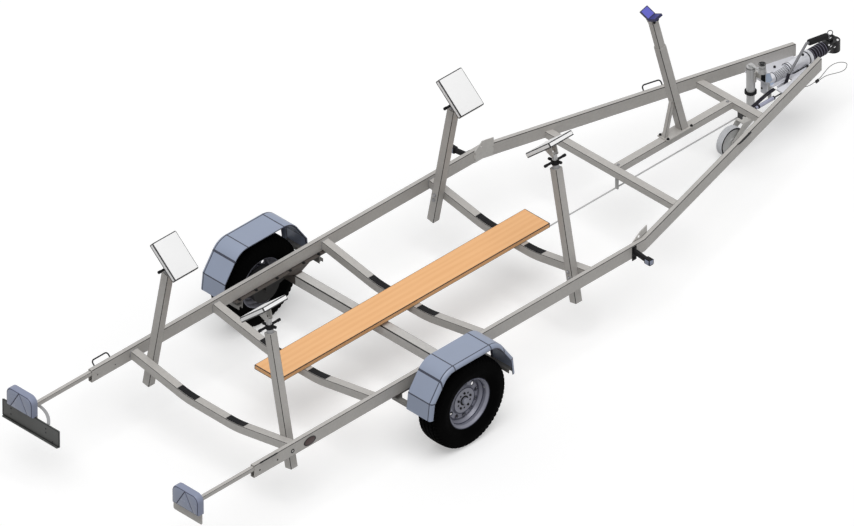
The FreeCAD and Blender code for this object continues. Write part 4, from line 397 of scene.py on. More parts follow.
# columns: name, colour, roughness, contrast, patch scale, grain scale, bump, metallic, coat
arm_iron = moulded("cast arm iron", rgb(36, 35, 34), 0.6, 0.3, 14.0, 500.0, 0.15, specular=0.2)
black_paint = moulded("black paint", rgb(18, 18, 20), 0.45, 0.3, 18.0, 500.0, 0.08, specular=0.25)
black_rubber = moulded("black rubber", rgb(18, 18, 20), 0.7, 0.35, 30.0, 900.0, 0.2, specular=0.2)
tyre_rubber = moulded("tyre rubber", rgb(4, 4, 4), 0.9, 0.3, 9.0, 420.0, 0.25, specular=0.03)
rim_paint = moulded("rim paint", rgb(140, 141, 154), 0.38, 0.06, 12.0, 900.0, 0.04, 0.15)
hub = moulded("hub and drum", two_tone(0, rgb(34, 34, 36), rgb(150, 152, 165), 0.94), 0.5, 0.15, 40.0, 900.0)
linkage = moulded("brake rods", two_tone(0, rgb(190, 190, 190), rgb(14, 14, 16), 0.05), 0.45, 0.15, 40.0, 900.0)
guard = guard_plastic()
guard_trim = moulded("guard trim", rgb(42, 45, 66), 0.5, 0.12, 12.0, 700.0, 0.08)
plank = board()
pad_plastic = moulded("white pad plastic", rgb(254, 254, 254), 0.5, 0.015, 14.0, 600.0, 0.05, lines=pad_edges)
bow_rubber = ribbed_rubber("navy bow rubber", rgb(26, 26, 72), 90.0)
# one blue rubber twice: the lit colour, and a darker copy with painted shade for the wing turned from the light
bow_face = ribbed_rubber("blue bow face", rgb(92, 94, 196), 120.0)
bow_face_shaded = ribbed_rubber("shaded blue bow face", rgb(56, 58, 128), 120.0)
lamp_shell = moulded("lamp shell", rgb(138, 145, 168), 0.4, 0.08, 20.0, 900.0, 0.05)
lens = moulded("lamp lens", rgb(140, 148, 171), 0.25, 0.05, 20.0, 60.0, 0.02, 0.0, 0.3)
holder = moulded("holder plastic", rgb(76, 77, 75), 0.5, 0.12, 10.0, 900.0, 0.1)
silver = moulded("silver casting", rgb(222, 223, 229), 0.42, 0.06, 30.0, 500.0, 0.12, 0.25)
pale_blue = moulded("pale blue zinc", rgb(190, 206, 228), 0.4, 0.06, 30.0, 500.0, 0.08, 0.2)
smooth_steel = moulded("smooth zinc tube", rgb(186, 186, 186), 0.36, 0.05, 14.0, 300.0, 0.05, 0.4)
badge_enamel = moulded("dark red enamel", rgb(50, 14, 12), 0.35, 0.12, 60.0, 900.0, 0.05)
rope_steel = moulded("dark rope", rgb(6, 6, 6), 0.7, 0.2, 90.0, 900.0, 0.1, specular=0.05)
lever_steel = moulded("lever steel", rgb(122, 122, 126), 0.4, 0.1, 18.0, 300.0, 0.06, 0.2)
bellows_rubber = moulded("bellows rubber", rgb(26, 24, 34), 0.6, 0.3, 30.0, 900.0, 0.2, specular=0.3)
# painted highlight: pale colour for rings along the ridges of the dark bellows
fold_highlight = moulded("bellows fold highlight", rgb(118, 115, 134), 0.55, 0.2, 30.0, 900.0, 0.15)
spring_steel = moulded("spring cylinder", rgb(170, 172, 192), 0.35, 0.06, 30.0, 600.0, 0.05, 0.15)
# near-black strips of painted shade for the housing's grooves, and its dark edge lines
groove_shade_and_lines = moulded("painted groove shade and dark lines", rgb(16, 20, 24), 0.7, 0.2, 30.0, 900.0, 0.1, specular=0.1)
nut_metal = moulded("polished fitting", rgb(236, 236, 238), 0.3, 0.05, 40.0, 600.0, 0.04, 0.2)
jockey_rubber = moulded("pale wheel rubber", rgb(228, 230, 234), 0.6, 0.08, 20.0, 500.0, 0.12)
jockey_plastic = moulded("grey wheel plastic", rgb(204, 204, 203), 0.5, 0.1, 20.0, 700.0, 0.1)

# nodes of each finish; a star stands for left and for right
FINISHES = (
    (steel, "front_frame bow_post bow_mast rail_* lamp_arm_* pole_rear_* pole_front_* cross_member_1 "
            "cross_member_2 cross_member_3 cross_member_4"),
    (sheet_steel, "kink_gussets jockey_clamp jockey_fork pad_hinge_rear_* pad_hinge_front_*"),
    (smooth_steel, "jockey_tube jockey_crank jockey_leg pad_spindle_rear_* pad_spindle_front_*"),
    (black_paint, "lashing_bows coupling_head cable_ferrule"), (black_rubber, "side_markers star_nuts"),
    (pad_plastic, "hull_pad_rear_* hull_pad_front_*"), (guard, "mudguard_*"), (stay_steel, "mudguard_stays"),
    (plank, "keel_plank"), (dark_steel, "torsion_axle"), (arm_iron, "swing_arms"), (rim_paint, "wheel_rim_*"),
    (hub, "hub_drum_*"), (bow_rubber, "bow_block"), (lamp_shell, "rear_lamp_*"), (holder, "plate_holder"),
    (silver, "overrun_housing"), (bellows_rubber, "bellows"), (lever_steel, "handbrake_lever"),
    (linkage, "brake_linkage"),
)
for finish, names in FINISHES:
    for name in names.split():
        for hand in ("left", "right") if "*" in name else ("",):
            mesh = nodes[name.replace("*", hand)].data
            mesh.materials.clear()
            mesh.materials.append(finish)


# ---------------------------------------------------------------- shaping tools
def edges_of(verts):
    """Edges at these vertices, each once."""
    return list(dict.fromkeys(edge for vert in verts for edge in vert.link_edges))


def rising(bm, least):
    """Edges whose ends differ in height by more than least."""
    return [edge for edge in bm.edges if abs(edge.verts[0].co.z - edge.verts[1].co.z) > least]


def soften(bm, edges, width, steps=2):
    """Round edges."""
    bmesh.ops.bevel(bm, geom=edges, offset=width, offset_type="OFFSET", segments=steps, profile=0.5,
                    affect="EDGES", clamp_overlap=True, material=-1)


def rod(bm, start, end, radius, end_radius=None, sides=24, rounding=0.0):
    """Round or polygonal bar between two places."""
    axis = end - start
    turn = axis.to_track_quat("Z", "Y").to_matrix().to_4x4()
    made = bmesh.ops.create_cone(
        bm, cap_ends=True, segments=sides, radius1=radius, radius2=radius if end_radius is None else end_radius,
        depth=axis.length, matrix=Matrix.Translation((start + end) / 2) @ turn)
    if rounding:
        rims = [edge for edge in edges_of(made["verts"]) if any(len(face.verts) == sides for face in edge.link_faces)]
        soften(bm, rims, rounding)


def block(bm, low, high, rounding=0.0):
    """Box between two corners."""
    size = high - low
    made = bmesh.ops.create_cube(
        bm, size=1.0, matrix=Matrix.Translation((low + high) / 2) @ Matrix.Diagonal(Vector((*size, 1.0))))
    if rounding:
        soften(bm, edges_of(made["verts"]), rounding)


def full_turn(bm, geom, centre, axis, steps):
    """Spin geometry once about an axis."""
    bmesh.ops.spin(bm, geom=geom, cent=centre, axis=axis, dvec=(0, 0, 0), angle=2 * math.pi,
                   steps=steps, use_merge=True, use_normal_flip=False, use_duplicate=False)
    bmesh.ops.remove_doubles(bm, verts=bm.verts, dist=1e-6)


def both_sides(half):
    """Whole outline, from the half on one side of the middle."""
    return list(half) + [(-along, radius) for along, radius in reversed(half) if along]


def spun(bm, outline, centre, axis, sides=48):
    """Round shape from (along, radius) corners spun about an axis."""
    side = Z if abs(axis.z) < 0.9 else X
    verts = [bm.verts.new(centre + axis * along + side * radius) for along, radius in outline]
    edges = [bm.edges.new(pair) for pair in zip(verts, verts[1:])]
    full_turn(bm, verts + edges, centre, axis, sides)


def sleeve(bm, start, end, inner, outer, centre, axis, sides):
    """Flat-ended ring open at its bore."""
    spun(bm, ((start, inner), (start, outer), (end, outer), (end, inner)), centre, axis, sides)


def ring(bm, centre, axis, radius, wire, sides, wire_sides):
    """Round wire ring about an axis."""
    side = Z if abs(axis.z) < 0.9 else X
    side = (side - axis * side.dot(axis)).normalized()
    turn = side.cross(axis).to_track_quat("Z", "Y").to_matrix().to_4x4()
    made = bmesh.ops.create_circle(bm, cap_ends=False, segments=wire_sides, radius=wire,
                                   matrix=Matrix.Translation(centre + side * radius) @ turn)
    full_turn(bm, made["verts"] + edges_of(made["verts"]), centre, axis, sides)


def bolt(bm, seat, axis, across=0.017, height=0.0075, stud=0.0):
    """Hexagon head on a washer, with an optional stud beyond it."""
    washer = seat + axis * 0.0018
    rod(bm, seat, washer, across * 0.78, sides=20)
    rod(bm, washer, washer + axis * height, across / math.sqrt(3), sides=6, rounding=across * 0.06)
    if stud:
        rod(bm, seat, seat + axis * (height + stud), across * 0.3, sides=12, rounding=0.0008)


def skin(bm, loops):
    """Closed skin over loops of places, capped at both ends."""
    loops = [[bm.verts.new(place) for place in loop] for loop in loops]
    for first, second in zip(loops, loops[1:]):
        for index in range(len(first)):
            after = (index + 1) % len(first)
            bm.faces.new((first[index], first[after], second[after], second[index]))
    bm.faces.new(loops[0])
    bm.faces.new(list(reversed(loops[-1])))


def scaled_cube(bm, size, middle=(0.0, 0.0, 0.0)):
    """Box of a size about a middle; gives its corners."""
    verts = bmesh.ops.create_cube(bm, size=1.0)["verts"]
    for vert in verts:
        vert.co = Vector([vert.co[axis] * size[axis] + middle[axis] for axis in range(3)])
    return verts


def seated(verts, origin, along, across, up):
    """Move corners from their own axes to a seat's axes."""
    for vert in verts:
        vert.co = origin + along * vert.co.x + across * vert.co.y + up * vert.co.z


def fitted(name, material, body, shapes, angle=35.0):
    """Piece that rides on a body, made of shapes; each is a shaping function and its values."""
    bm = bmesh.new()
    for shape, *values in shapes:
        shape(bm, *values)
    bmesh.ops.recalc_face_normals(bm, faces=bm.faces)
    mesh = bpy.data.meshes.new(name)
    bm.to_mesh(mesh)
    bm.free()
    for face in mesh.polygons:
        face.use_smooth = True
    mesh.set_sharp_from_angle(angle=math.radians(angle))
    mesh.materials.append(material)
    made = bpy.data.objects.new(name, mesh)
    bpy.context.scene.collection.objects.link(made)
    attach(made, body)
    return made


def thread_curve(name, points, kind, resolution, radius, bevel_resolution):
    """Round bar or cord along places, as a curve."""
    curve = bpy.data.curves.new(name, "CURVE")
    curve.dimensions = "3D"
    curve.resolution_u = resolution
    spline = curve.splines.new(kind)
    spline.points.add(len(points) - 1)
    for target, point in zip(spline.points, points):
        target.co = (*point, 1.0)
    if kind == "NURBS":
        spline.order_u = 3
        spline.use_endpoint_u = True
    curve.use_fill_caps = True
    curve.bevel_depth = radius
    curve.bevel_resolution = bevel_resolution
    return curve, bpy.data.objects.new(name, curve)


def swept(bm, points, radius, sides=12, kind="NURBS"):
    """Round bar along places, as a mesh."""
    curve, bar = thread_curve("sweep", points, kind, 6, radius, max(1, sides // 4 - 1))
    mesh = bpy.data.meshes.new_from_object(bar)
    bm.from_mesh(mesh)
    bpy.data.objects.remove(bar)
    bpy.data.curves.remove(curve)
    bpy.data.meshes.remove(mesh)


def strap(bm, handles, width, thickness, steps=20):
    """Flat bar, lying level, along a curve with two ends and two handles."""
    loops = []
    for step in range(steps + 1):
        t = step / steps
        weights = ((1 - t) ** 3, 3 * t * (1 - t) ** 2, 3 * t * t * (1 - t), t ** 3)
        slopes = (-3 * (1 - t) ** 2, 3 * (1 - t) * (1 - 3 * t), 3 * t * (2 - 3 * t), 3 * t * t)
        place = sum((point * weight for point, weight in zip(handles, weights)), Vector())
        run = sum((point * slope for point, slope in zip(handles, slopes)), Vector()).normalized()
        across = Z.cross(run).normalized() * width / 2
        up = run.cross(across).normalized() * thickness / 2
        loops.append([place + across * a + up * b for a, b in ((-1, -1), (1, -1), (1, 1), (-1, 1))])
    skin(bm, loops)


def spoke(degrees):
    """Direction at an angle about X."""
    angle = math.radians(degrees)
    return Vector((0, math.cos(angle), math.sin(angle)))


# ---------------------------------------------------------------- road wheels
TYRE_STEPS = 360
LUG_STEPS = 6
TYRE_OUTLINE = (
    # along from the tyre's middle, radius
    (-0.0547, 0.1674), (-0.0738, 0.1822), (-0.0782, 0.1922), (-0.0796, 0.1968), (-0.0826, 0.1984),
    (-0.0836, 0.2018), (-0.0878, 0.2120), (-0.0934, 0.2260), (-0.0969, 0.2400), (-0.0972, 0.2490),
    (-0.0958, 0.2620), (-0.0930, 0.2760), (-0.0903, 0.2880), (-0.0908, 0.2890), (-0.0876, 0.2990),
    (-0.0820, 0.3100), (-0.0740, 0.3185), (-0.0560, 0.3222), (-0.0545, 0.3150), (-0.0470, 0.3150),
    (-0.0455, 0.3232), (-0.0240, 0.3246), (-0.0225, 0.3170), (-0.0150, 0.3170), (-0.0135, 0.3249),
    (0.0, 0.3250),
)
TREAD_CUTS = (
    # least and most across, least radius, steps of a lug, depth
    (0.0560, 0.0915, 0.309, (0, 1), 0.007), (0.0560, 0.0915, 0.298, (0, 1), 0.0035),
    (0.0240, 0.0456, 0.319, (4,), 0.0045), (0.0, 0.0136, 0.319, (2,), 0.003),
)
WHEEL_FACE_X = 975.0
RIM_EDGE_X = 1000.0
BOLT_CIRCLE = 0.056
VENT_CIRCLE = 0.121
VENT_COUNT = 11
VENT_ANGLE = 12.3
VALVE_CIRCLE = 0.156
VALVE_ANGLE = math.degrees(0.35)
VENT_RING = ((0.0, 0.0131), (0.0, 0.0165), (0.0012, 0.0162), (0.0012, 0.0131))
HUB_COLLAR = ((-0.002, 0.0250), (0.0020, 0.0250), (0.0020, 0.0335), (0.0008, 0.0355), (-0.002, 0.0355))
RIM_LINES = (
    # along from the rim's middle, radius, width
    (0.0245, 0.0905, 0.0035), (0.0120, 0.1505, 0.0040), (0.0360, 0.1600, 0.0036), (0.0560, 0.1655, 0.0036),
    (0.0728, 0.1790, 0.0032),
)


def treaded(bm, centre):
    """Tyre with circumferential grooves, shoulder lugs and sidewall rings."""
    spun(bm, both_sides(TYRE_OUTLINE), centre, X, TYRE_STEPS)
    step = 2 * math.pi / TYRE_STEPS
    for vert in bm.verts:
        place = vert.co - centre
        radius = math.hypot(place.y, place.z)
        across = abs(place.x)
        count = round(math.atan2(place.z, place.y) / step) + (3 if place.x > 0 else 0)
        for low, high, least, phases, depth in TREAD_CUTS:
            if low <= across <= high and radius > least and count % LUG_STEPS in phases:
                shrink = (radius - depth) / radius
                vert.co = centre + Vector((place.x, place.y * shrink, place.z * shrink))
                break


def wheel_fittings(side, hand):
    """Wheel bolts and dark discs between them as painted shade of the disc's recesses, the hub's dark collar, rim
    lines and the valve.
    """
    out = X * side
    face = at(side * WHEEL_FACE_X, WHEEL_Y, HUB_Z)
    middle = at(side * WHEEL_X, WHEEL_Y, HUB_Z)
    body = "wheel_" + hand
    seats = [face + spoke(18.0 + 36.0 * index) * BOLT_CIRCLE for index in range(10)]
    bolts = []
    for seat in seats[::2]:
        bolts.append((rod, seat - out * 0.004, seat + out * 0.0016, 0.0090, None, 24, 0.0005))
        bolts.append((rod, seat + out * 0.0016, seat + out * 0.0080, 0.0076, None, 6, 0.0008))
    fitted("wheel_bolts_" + hand, black_paint, body, bolts)
    # dark discs at the other seats are painted shade standing in for the disc's recesses
    recesses = [(rod, seat - out * 0.003, seat + out * 0.0006, 0.0072) for seat in seats[1::2]]
    fitted("disc_recess_shade_" + hand, black_rubber, body, recesses + [(spun, HUB_COLLAR, face, out, 40)])
    lines = [(sleeve, reach - width / 2, reach + width / 2, radius + 0.003, radius - 0.0014, middle, out, 96)
             for reach, radius, width in RIM_LINES]
    rim = middle + out * 0.0112
    vents = [(spun, VENT_RING, rim + spoke(VENT_ANGLE + 360.0 * index / VENT_COUNT) * VENT_CIRCLE, out, 24)
             for index in range(VENT_COUNT)]
    fitted("rim_lines_" + hand, guard_trim, body, lines + vents)
    along = spoke(VALVE_ANGLE)
    root = at(side * RIM_EDGE_X, WHEEL_Y, HUB_Z) + along * VALVE_CIRCLE
    fitted("valve_" + hand, fastener, body, [
        (rod, root, root + out * 0.018 - along * 0.006, 0.0038, 0.0032, 14, 0.0006)])


for side in SIDES:
    hand = side_name(side)
    tyre = [(treaded, at(side * WHEEL_X, WHEEL_Y, HUB_Z))]
    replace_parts(fitted("tyre_tread_" + hand, tyre_rubber, "wheel_" + hand, tyre, 28.0), "tyre_" + hand)
    wheel_fittings(side, hand)


# ---------------------------------------------------------------- mudguards
GUARD_FLAT = 164.0
GUARD_BEND = 143.5
GUARD_TOP = 709.0
GUARD_KNEE_Y = 376.0
GUARD_FOOT = (391.0, 387.0)
GUARD_SLOPE = math.radians(55.3)
GUARD_INNER_X = 845.5
GUARD_OUTER_X = 1053.0
STAY_Y = 369.0
STAY_NUT_Z = 413.0


def guard_path(x, inset):
    """Side outline of a guard in the plane at x, moved inwards."""
    bend = GUARD_BEND - inset
    top = GUARD_TOP - inset
    knee_y = GUARD_KNEE_Y - inset
    angles = [GUARD_SLOPE * share for share in (1.0, 0.75, 0.5, 0.25, 0.0)]
    arc = [(GUARD_FLAT + bend * math.sin(angle), top - bend * (1 - math.cos(angle))) for angle in angles]
    bend_y, bend_z = arc[0]
    knee_z = bend_z - (knee_y - bend_y) * math.tan(GUARD_SLOPE)
    front = [(GUARD_FOOT[0] - inset, GUARD_FOOT[1]), (knee_y, knee_z)] + arc
    rear = [(-y, z) for y, z in reversed(front)]
    return [at(x, WHEEL_Y + y, z) for y, z in front + rear]


# rolled beads along a guard's inner edge and under its outer lip, and the nuts under its stays
for side in SIDES:
    fitted("guard_beads_" + side_name(side), guard_trim, "frame", [
        (swept, guard_path(side * GUARD_INNER_X, 6.5), 0.0065, 12, "POLY"),
        (swept, guard_path(side * GUARD_OUTER_X, 27.0), 0.003, 8, "POLY")], 50.0)
    fitted("guard_bolts_" + side_name(side), black_paint, "frame", [
        (bolt, at(side * x, WHEEL_Y + y, STAY_NUT_Z), Z * -1, 0.017, 0.0075, 0.014)
        for y in (-STAY_Y, STAY_Y) for x in (716.0, 742.0)])


# ---------------------------------------------------------------- rails and cross members
RAIL_X = 760.0
RAIL_INNER_X = 725.0
RAIL_MIDDLE_Z = 497.0
PORT_Y = -1378.0
HOLE_YS = (-1673.0, -1514.0)
PLUG_FACE_X = 760.4
OVAL_Y = -1223.0
OVAL_Z = 499.0
OVAL_STRETCH = 1.75
PORT_RIM = ((-0.003, 0.0088), (0.002, 0.0088), (0.0026, 0.0100), (0.0026, 0.0140), (0.0, 0.0155))
DISC_FACE = ((0.0, 0.0265), (0.0016, 0.0265), (0.0021, 0.0240), (0.0021, 0.0))
DISC_RIM = ((0.0, 0.0310), (0.0020, 0.0310), (0.0027, 0.0290), (0.0020, 0.0264), (0.0, 0.0264))
MEMBER_REAR_YS = (-1375.0, -632.0, 359.0, 1340.0)
MEMBER_Z = 407.0
MEMBER_RISE = math.radians(10.5)
MEMBER_BEND_X = 153.3
MEMBER_BEND_RADIUS = 750.0
MEMBER_TOP_Z = 437.0
MAT_COLUMNS = 40
MAT_START = -12.0
MAT_LENGTH = 161.0
MAT_WIDTH = 50.0
MEMBER_HALF = 30.0
WELD_STEPS = 14
POLE_LEAN = math.radians(10.91)
POLE_FOOT_X = 654.0
POLE_FOOT_Z = 272.0
POLE_LENGTH = 984.0
POLE_ENDS = (("rear", -1285.0), ("front", 1310.0))
POLE_JOINTS = ((-1255.0, 1), (1280.0, -1))
BEAM_TOP_Z = 506.0
POST_BASE_Z = 515.0
STRIP_X = 712.5
STRIP_BOLT_YS = (-400.0, -250.0, -60.0, 60.0, 182.0, 320.0)
STRIP_FACES = (
    # z, direction, head height, stud
    (448.0, -1, 0.0070, 0.004), (456.0, 1, 0.0060, 0.002),
)


def oval(bm, outline, centre):
    """Round shape about X, stretched along Y."""
    spun(bm, outline, centre, X, 48)
    bmesh.ops.scale(bm, vec=(1.0, OVAL_STRETCH, 1.0), space=Matrix.Translation(-centre), verts=bm.verts)


def bend_place(distance):
    """Place and slope on top of a cross member's right bend, by distance from its start."""
    bent = min(max(distance, 0.0), MEMBER_BEND_RADIUS * MEMBER_RISE)
    angle = bent / MEMBER_BEND_RADIUS
    extra = distance - bent
    x = MEMBER_BEND_X + MEMBER_BEND_RADIUS * math.sin(angle) + extra * math.cos(angle)
    z = MEMBER_TOP_Z + MEMBER_BEND_RADIUS * (1 - math.cos(angle)) + extra * math.sin(angle)
    return x, z, angle


def bend_mat(bm, side, rear_y):
    """Ribbed rubber mat on top of a cross member's bend."""
    lower = bmesh.ops.create_grid(bm, x_segments=MAT_COLUMNS, y_segments=3, size=0.5)["verts"]
    faces = list(dict.fromkeys(face for vert in lower for face in vert.link_faces))
    raised = bmesh.ops.extrude_face_region(bm, geom=faces)["geom"]
    upper = [vert for vert in raised if isinstance(vert, bmesh.types.BMVert)]
    for verts, even, ribbed in ((lower, 0.15, 0.15), (upper, 2.2, 3.8)):
        for vert in verts:
            column = round((vert.co.x + 0.5) * MAT_COLUMNS)
            x, z, angle = bend_place(MAT_START + MAT_LENGTH * column / MAT_COLUMNS)
            lift = ribbed if column % 4 in (1, 2) else even
            y = rear_y + MEMBER_HALF + vert.co.y * MAT_WIDTH
            vert.co = at(side * (x - lift * math.sin(angle)), y, z + lift * math.cos(angle))


def weld(bm, side, rear_y):
    """Run of weld round a cross member's end."""
    bead = Matrix.Diagonal(Vector((0.9, 1.0, 1.0, 1.0)))
    middle_z = MEMBER_Z + (RAIL_INNER_X - 225.0) * math.tan(MEMBER_RISE)
    half = 30.5 / math.cos(MEMBER_RISE)
    loop = [at(side * (RAIL_INNER_X - 1.0), rear_y + shift, middle_z + rise)
            for shift, rise in ((-1, -half), (61, -half), (61, half), (-1, half), (-1, -half))]
    for start, end in zip(loop, loop[1:]):
        for index in range(WELD_STEPS):
            place = Matrix.Translation(start.lerp(end, (index + 0.5) / WELD_STEPS))
            bmesh.ops.create_icosphere(bm, subdivisions=1, radius=0.0032, matrix=place @ bead)


# rims and plugs of the rails' ports and holes, and the bare oval disc on the right rail
fitted("rail_grommets", black_rubber, "frame", [
    (spun, PORT_RIM, at(side * RAIL_X, PORT_Y, RAIL_MIDDLE_Z), X * side, 36) for side in SIDES])
fitted("rail_port_plugs", sheet_steel, "frame", [
    (rod, at(side * 757.0, PORT_Y, RAIL_MIDDLE_Z), at(side * PLUG_FACE_X, PORT_Y, RAIL_MIDDLE_Z), 0.0088, None, 32)
    for side in SIDES])
fitted("rail_hole_plugs", black_rubber, "frame", [
    (rod, at(side * 756.0, y, RAIL_MIDDLE_Z), at(side * PLUG_FACE_X, y, RAIL_MIDDLE_Z), 0.0066)
    for side in SIDES for y in HOLE_YS])
for name, outline, finish in (("disc", DISC_FACE, badge_enamel), ("rim", DISC_RIM, black_paint)):
    fitted("blank_oval_" + name, finish, "frame", [(oval, outline, at(RAIL_X, OVAL_Y, OVAL_Z))])
fitted("bend_mats", black_rubber, "frame", [
    (bend_mat, side, rear_y) for rear_y in MEMBER_REAR_YS for side in SIDES], 20.0)
# bolts of the pole joints, the beam's ends, the bow post and the axle strips
fitted("frame_bolts", fastener, "frame", [
    (bolt, at(side * (POLE_FOOT_X - (z - POLE_FOOT_Z) * math.tan(POLE_LEAN)), y, z), Y * sign, 0.018, 0.008, 0.004)
    for y, sign in POLE_JOINTS for side in SIDES for z in (455.0, 497.0)] + [
    (bolt, at(0.0, y, BEAM_TOP_Z), Z, 0.014, 0.006) for y in (2360.0, 3376.0)])
fitted("post_bolts", black_paint, "frame", [
    (bolt, at(x, y, POST_BASE_Z), Z, 0.014, 0.008, 0.005) for x in (-36.0, 36.0) for y in (2785.0, 3003.0)])
fitted("strip_nuts", black_paint, "frame", [
    (bolt, at(side * STRIP_X, y, z), Z * sign, 0.016, height, stud)
    for side in SIDES for y in STRIP_BOLT_YS for z, sign, height, stud in STRIP_FACES])
fitted("weld_beads", fastener, "frame", [
    (weld, side, rear_y) for rear_y in MEMBER_REAR_YS for side in SIDES], 60.0)


# ---------------------------------------------------------------- lamps and plate holder
LAMP_X = 759.0
LAMP_WIDTH = 237.0
LAMP_HEIGHT = 144.0
LAMP_CORNER = 50.0
LAMP_BOTTOM = 529.0
LAMP_REAR_Y = -2343.0
LAMP_FRONT_Y = -2293.0
LAMP_ROUNDING = ((LAMP_FRONT_Y, 0.0), (-2333.0, 0.0), (-2337.5, 0.6), (-2341.0, 2.4), (LAMP_REAR_Y, 6.0))
LENS_GAP = 3.8
LENS_EDGE = 8.5
LENS_CORNER = 0.044
LENS_DEPTH = 0.004
HOLDER_REAR_Y = -2304.0
HOLDER_FRONT_Y = -2300.5
SCREW_Y = -2301.0
SCREW_HEAD = ((0.0, 0.0055), (0.0016, 0.005), (0.0024, 0.003), (0.0024, 0.0))
HOLDER_SCREWS = ((-880.0, 470.0), (-880.0, 425.0), (-560.0, 470.0), (-560.0, 440.0), (-500.0, 398.0))
HOLDER_RIM = (
    # low x and z, high x and z of each bar
    (-957.0, 505.0, -437.0, 509.0), (-957.0, 385.0, -437.0, 389.0),
    (-957.0, 389.0, -953.0, 505.0), (-441.0, 389.0, -437.0, 505.0),
)
BRACE_HANDLES = ((-730.0, -2192.0, 510.0), (-672.0, -2196.0, 510.0), (-604.0, -2222.0, 509.0),
                 (-548.0, -2288.0, 503.0))


def lamp_loop(side, y, inset):
    """Closed outline of a lamp at y, moved inwards, with large upper corners."""
    low_x = side * LAMP_X - LAMP_WIDTH / 2 + inset
    high_x = side * LAMP_X + LAMP_WIDTH / 2 - inset
    low_z = LAMP_BOTTOM + inset
    corner = LAMP_CORNER - inset
    corner_z = LAMP_BOTTOM + LAMP_HEIGHT - inset - corner
    places = [at(low_x, y, low_z), at(high_x, y, low_z)]
    for middle_x, first in ((high_x - corner, 0.0), (low_x + corner, 90.0)):
        for step in range(11):
            angle = math.radians(first + 9.0 * step)
            places.append(at(middle_x + corner * math.cos(angle), y, corner_z + corner * math.sin(angle)))
    return places


def lens_plate(bm, outline, rounded, origin):
    """Raised lens segment from its corners in millimetres; rounded gives each corner's radius."""
    face = bm.faces.new([bm.verts.new(origin + (X * across + Z * up) / 1000.0) for across, up in outline])
    for vert, radius in zip(list(face.verts), rounded):
        if radius:
            bmesh.ops.bevel(bm, geom=[vert], offset=radius, segments=8, profile=0.5, affect="VERTICES", material=-1)
    raised = bmesh.ops.extrude_face_region(bm, geom=list(bm.faces))["geom"]
    moved = [made for made in raised if isinstance(made, bmesh.types.BMVert)]
    bmesh.ops.translate(bm, vec=Y * -LENS_DEPTH, verts=moved)
    front = [made for made in raised if isinstance(made, bmesh.types.BMFace)]
    rim = [edge for face in front for edge in face.edges if any(other not in front for other in edge.link_faces)]
    soften(bm, list(dict.fromkeys(rim)), 0.0012)


def lamp_details(side, hand):
    """Lamp shell, its dark ground and three lens segments, the middle one a triangle."""
    body = "lamp_arm_" + hand
    shell = [lamp_loop(side, y, inset) for y, inset in LAMP_ROUNDING]
    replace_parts(fitted("lamp_housing_" + hand, lamp_shell, body, [(skin, shell)], 30.0), "rear_lamp_" + hand)
    ground = [lamp_loop(side, y, 4.5) for y in (LAMP_REAR_Y + 0.5, LAMP_REAR_Y - 0.9)]
    fitted("lens_ground_" + hand, guard_trim, body, [(skin, ground)], 30.0)
    apex = LAMP_WIDTH / 2
    foot = LAMP_WIDTH * 0.18
    far = LAMP_WIDTH - LENS_EDGE
    top = LAMP_HEIGHT - LENS_EDGE
    slant = LENS_GAP * 1.6
    segments = (
        (((LENS_EDGE, LENS_EDGE), (foot - LENS_GAP, LENS_EDGE), (apex - slant, top), (LENS_EDGE, top)),
         (0, 0, 0, LENS_CORNER)),
        (((foot + LENS_GAP, LENS_EDGE), (LAMP_WIDTH - foot - LENS_GAP, LENS_EDGE), (apex, top - 4.0)), (0, 0, 0)),
        (((LAMP_WIDTH - foot + LENS_GAP, LENS_EDGE), (far, LENS_EDGE), (far, top), (apex + slant, top)),
         (0, 0, LENS_CORNER, 0)),
    )
    origin = at(side * LAMP_X - LAMP_WIDTH / 2, LAMP_REAR_Y + 0.4, LAMP_BOTTOM)
    for index, segment in enumerate(segments):
        name = "lens_%d_%s" % (index + 1, hand)
        fitted(name, lens, body, [(lens_plate, *segment, origin)], 25.0)


for side in SIDES:
    lamp_details(side, side_name(side))
# screws, rim and curved brace of the bare plate holder
fitted("holder_screws", black_paint, "lamp_arm_left", [
    (spun, SCREW_HEAD, at(x, SCREW_Y, z), Y * -1, 18) for x, z in HOLDER_SCREWS])
fitted("holder_rim", black_paint, "lamp_arm_left", [
    (block, at(low_x, HOLDER_REAR_Y, low_z), at(high_x, HOLDER_FRONT_Y, high_z), 0.0008)
    for low_x, low_z, high_x, high_z in HOLDER_RIM])
fitted("holder_brace", fastener, "lamp_arm_left", [
    (strap, [at(*place) for place in BRACE_HANDLES], 0.022, 0.004)])


# ---------------------------------------------------------------- hull pads, star nuts and bow block
POLE_UP = Vector((-math.sin(POLE_LEAN), 0.0, math.cos(POLE_LEAN)))
POLE_ACROSS = Vector((math.cos(POLE_LEAN), 0.0, math.sin(POLE_LEAN)))
PAD_SLOPE = Vector((math.cos(PAD_TILT), 0.0, math.sin(PAD_TILT)))
PAD_NORMAL = Vector((-math.sin(PAD_TILT), 0.0, math.cos(PAD_TILT)))
HINGE_RISE = 102.0
PAD_LIFT = 0.0497
PAD_SHIFT = 0.0051
NUT_RISE = 49.0
COLLAR_OUTLINE = ((0.0002, 0.0196), (0.0002, 0.0280), (0.0060, 0.0280), (0.0080, 0.0230), (0.030, 0.0230),
                  (0.030, 0.0196))
NUT_OUTLINE = ((0.030, 0.0196), (0.030, 0.0262), (0.032, 0.0280), (0.058, 0.0280), (0.062, 0.0255),
               (0.062, 0.0196))
POST_LEAN = math.radians(15.77)
POST_UP = Vector((0.0, -math.sin(POST_LEAN), math.cos(POST_LEAN)))
POST_FORWARD = Vector((0.0, math.cos(POST_LEAN), math.sin(POST_LEAN)))
POST_FOOT = at(0.0, 2951.0, POST_BASE_Z)
POST_LENGTH = 776.0
MAST_REACH = 240.0
WING_RISE = math.radians(30.5)
WING_SEAT = 25.7


def mirrored(side, direction):
    """Direction for the right side, mirrored for the left."""
    return Vector((direction.x * side, direction.y, direction.z))


